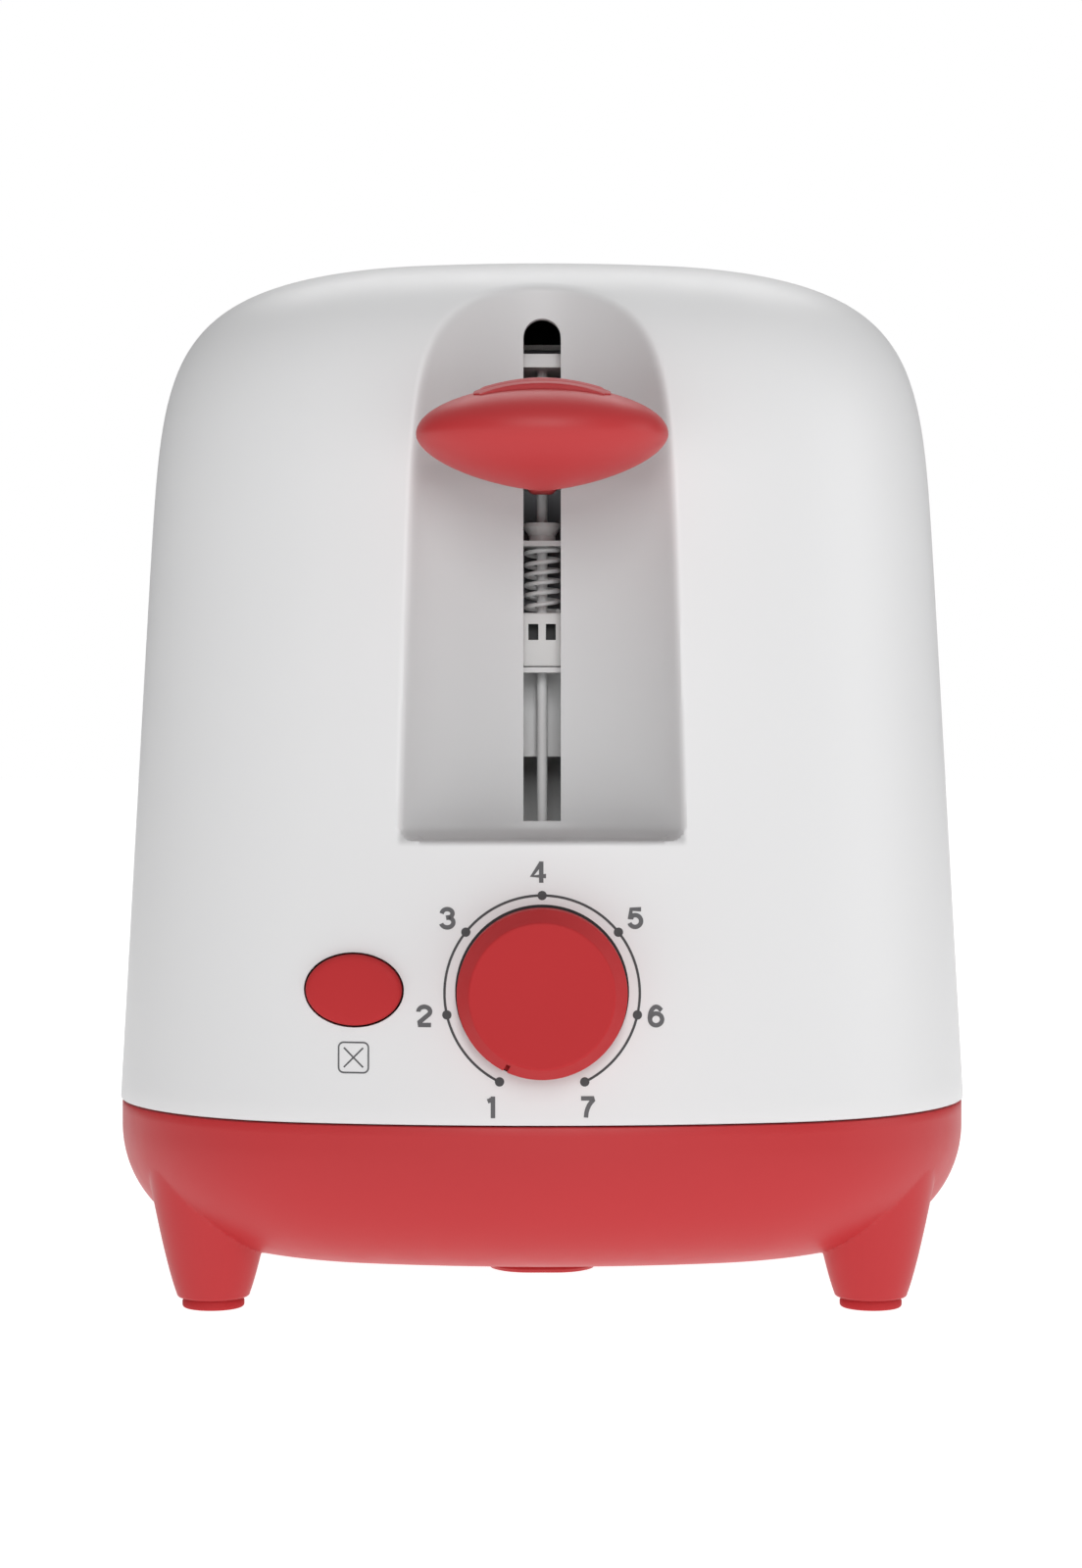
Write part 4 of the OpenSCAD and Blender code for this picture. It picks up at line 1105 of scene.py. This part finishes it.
def make_guide_block():
    """Nylon block that slides on the guide rod, with two moulding windows in its face whose insides are
    painted black as painted shade.
    """
    lo, hi = node_mm("lower_bush")
    rod_lo, rod_hi = node_mm("guide_rod")
    front, back, foot = lo[1] - MID_Y, hi[1] - MID_Y, lo[2] + 1.2
    rod_y, rod_r = (rod_lo[1] + rod_hi[1]) / 2 - MID_Y, (rod_hi[0] - rod_lo[0]) / 2 + 0.08
    block = mesh_object("guide_block", *boxes((lo[0], hi[0], front, back, foot, hi[2])))
    bevelled(block, 0.35)
    cut(block, prism_z(circle(0, rod_y, 2.5, 40), lo[2], foot + 1), "UNION")
    cut(block, prism_z(circle(0, rod_y, rod_r, 40), lo[2] - 2, hi[2] + 2))
    half, deep, low, high = 0.93, 3.6, 125.9, 128.9
    for x in (-1.63, 1.63):
        cut(block, boxes((x - half, x + half, front - 1, front + deep, low, high)))
    piece(block, "carriage", "nylon", "nylon_white", "lower_bush")
    # Painted shade: the window insides are painted black.
    paint_shade_black(block, lambda x, y, z, normal: (front + 0.2 < y < front + deep + 0.1 and abs(x) < 2.7
                                           and low - 0.1 < z < high + 0.1))


# --- Materials of the CAD nodes that stay ---
SLOT_SIDES = ("left_outer", "left_inner", "right_inner", "right_outer")
NODE_MATERIALS = {
    "bright": ["spring_post", "base_screws", "board_screws", "chassis_screws", "potentiometer_shaft",
               "bread_rack_left", "bread_rack_right"] + ["guide_" + side for side in SLOT_SIDES],
    "mirror": ["top_slot_frame", "left_reflector", "right_reflector"],
    "pale": ["carriage_bracket", "rod_upper_bracket", "rod_lower_bracket", "guide_rod"],
    # The end plates get the dark steel colour as painted shade inside the body.
    "shade_dark_steel": ["front_end_plate", "rear_end_plate"],
    "iron": ["armature_plate", "magnet_core"],
    "nylon": ["upper_bush", "terminal_block", "switch_plunger", "mains_switch"],
    "copper": ["magnet_coil"],
    "board": ["circuit_board"],
    "black": ["board_parts", "potentiometer_body", "cancel_switch"],
    "mica": ["mica_" + side for side in SLOT_SIDES],
    "nichrome": ["ribbon_" + side for side in SLOT_SIDES],
}


def dress_nodes():
    """Gives every CAD node that stays its material."""
    for material, nodes in NODE_MATERIALS.items():
        for name in nodes:
            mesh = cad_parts[name].data
            mesh.materials.clear()
            mesh.materials.append(MAT[material])


# --- Studio ---
def area_light(name, place, target, size, power):
    data = bpy.data.lights.new(name, "AREA")
    data.shape = "RECTANGLE"
    data.size, data.size_y = size
    data.energy = power
    light = new_object(name, data)
    light.location = place
    light.rotation_euler = (Vector(target) - Vector(place)).to_track_quat("-Z", "Y").to_euler()


def make_studio():
    """White sweep: bright floor, soft key from high in front, fill from the right and the rear."""
    world = bpy.data.worlds.new("studio")
    world.use_nodes = True
    nodes = world.node_tree.nodes
    sky = nodes.new("ShaderNodeTexCoord").outputs["Generated"]
    fade = nodes.new("ShaderNodeMapRange")
    fade.interpolation_type = "SMOOTHSTEP"
    feed(fade, Value=feed(nodes.new("ShaderNodeSeparateXYZ"), Vector=sky).outputs["Z"],
         From_Min=0.1, From_Max=0.85, To_Min=0.1, To_Max=0.5)
    # The camera sees plain white; the pieces are lit by the fade.
    seen = feed(nodes.new("ShaderNodeMix"), A=fade.outputs["Result"], B=1.0,
                Factor=nodes.new("ShaderNodeLightPath").outputs["Is Camera Ray"])
    feed(nodes["Background"], Color=(1, 1, 1), Strength=seen.outputs["Result"])
    bpy.context.scene.world = world
    floor_mesh = bpy.data.meshes.new("floor")
    reach = 8.0
    corners = [(-reach, -reach, 0), (reach, -reach, 0), (reach, reach, 0), (-reach, reach, 0)]
    floor_mesh.from_pydata(corners, [], [(0, 1, 2, 3)])
    floor = new_object("floor", floor_mesh)
    pale, shader = new_material("pale_floor", (0.36, 0.36, 0.36), 0.9)
    feed(shader, Base_Color=mix_colors(pale, noise(pale, 3), (0.35, 0.35, 0.35), (0.37, 0.37, 0.37)),
         Specular_IOR_Level=0.0, Emission_Color=(1, 1, 1), Emission_Strength=0.98)
    floor_mesh.materials.append(pale)
    area_light("front_key", (0.05, -1.5, 0.65), (0, -0.13, 0.12), (0.3, 0.75), 8.0)
    area_light("side_right", (1.3, -0.3, 0.4), (0, 0, 0.1), (0.7, 0.7), 3.0)
    area_light("top_rear", (0, 0.7, 1.1), (0, 0, 0.15), (1.0, 0.6), 4.6)


def make_camera():
    """Camera at the height and distance that were fitted to the toaster's outline."""
    data = bpy.data.cameras.new("camera")
    data.sensor_width = 36
    data.lens = 73.9
    camera = new_object("camera", data)
    camera.location = (-0.0002, (MID_Y - HALF_L - 574) * MM, 0.107)
    camera.rotation_euler = (math.radians(90 - 0.768), 0, 0)
    bpy.context.scene.camera = camera


shell_surface = make_shell()
make_base()
make_feet()
make_lever()
make_knob()
make_button()
make_dial(shell_surface)
make_tray()
make_tray_handle()
make_gland()
make_springs()
make_guide_block()
dress_nodes()
make_studio()
make_camera()
bpy.context.scene.view_settings.view_transform = "Standard"
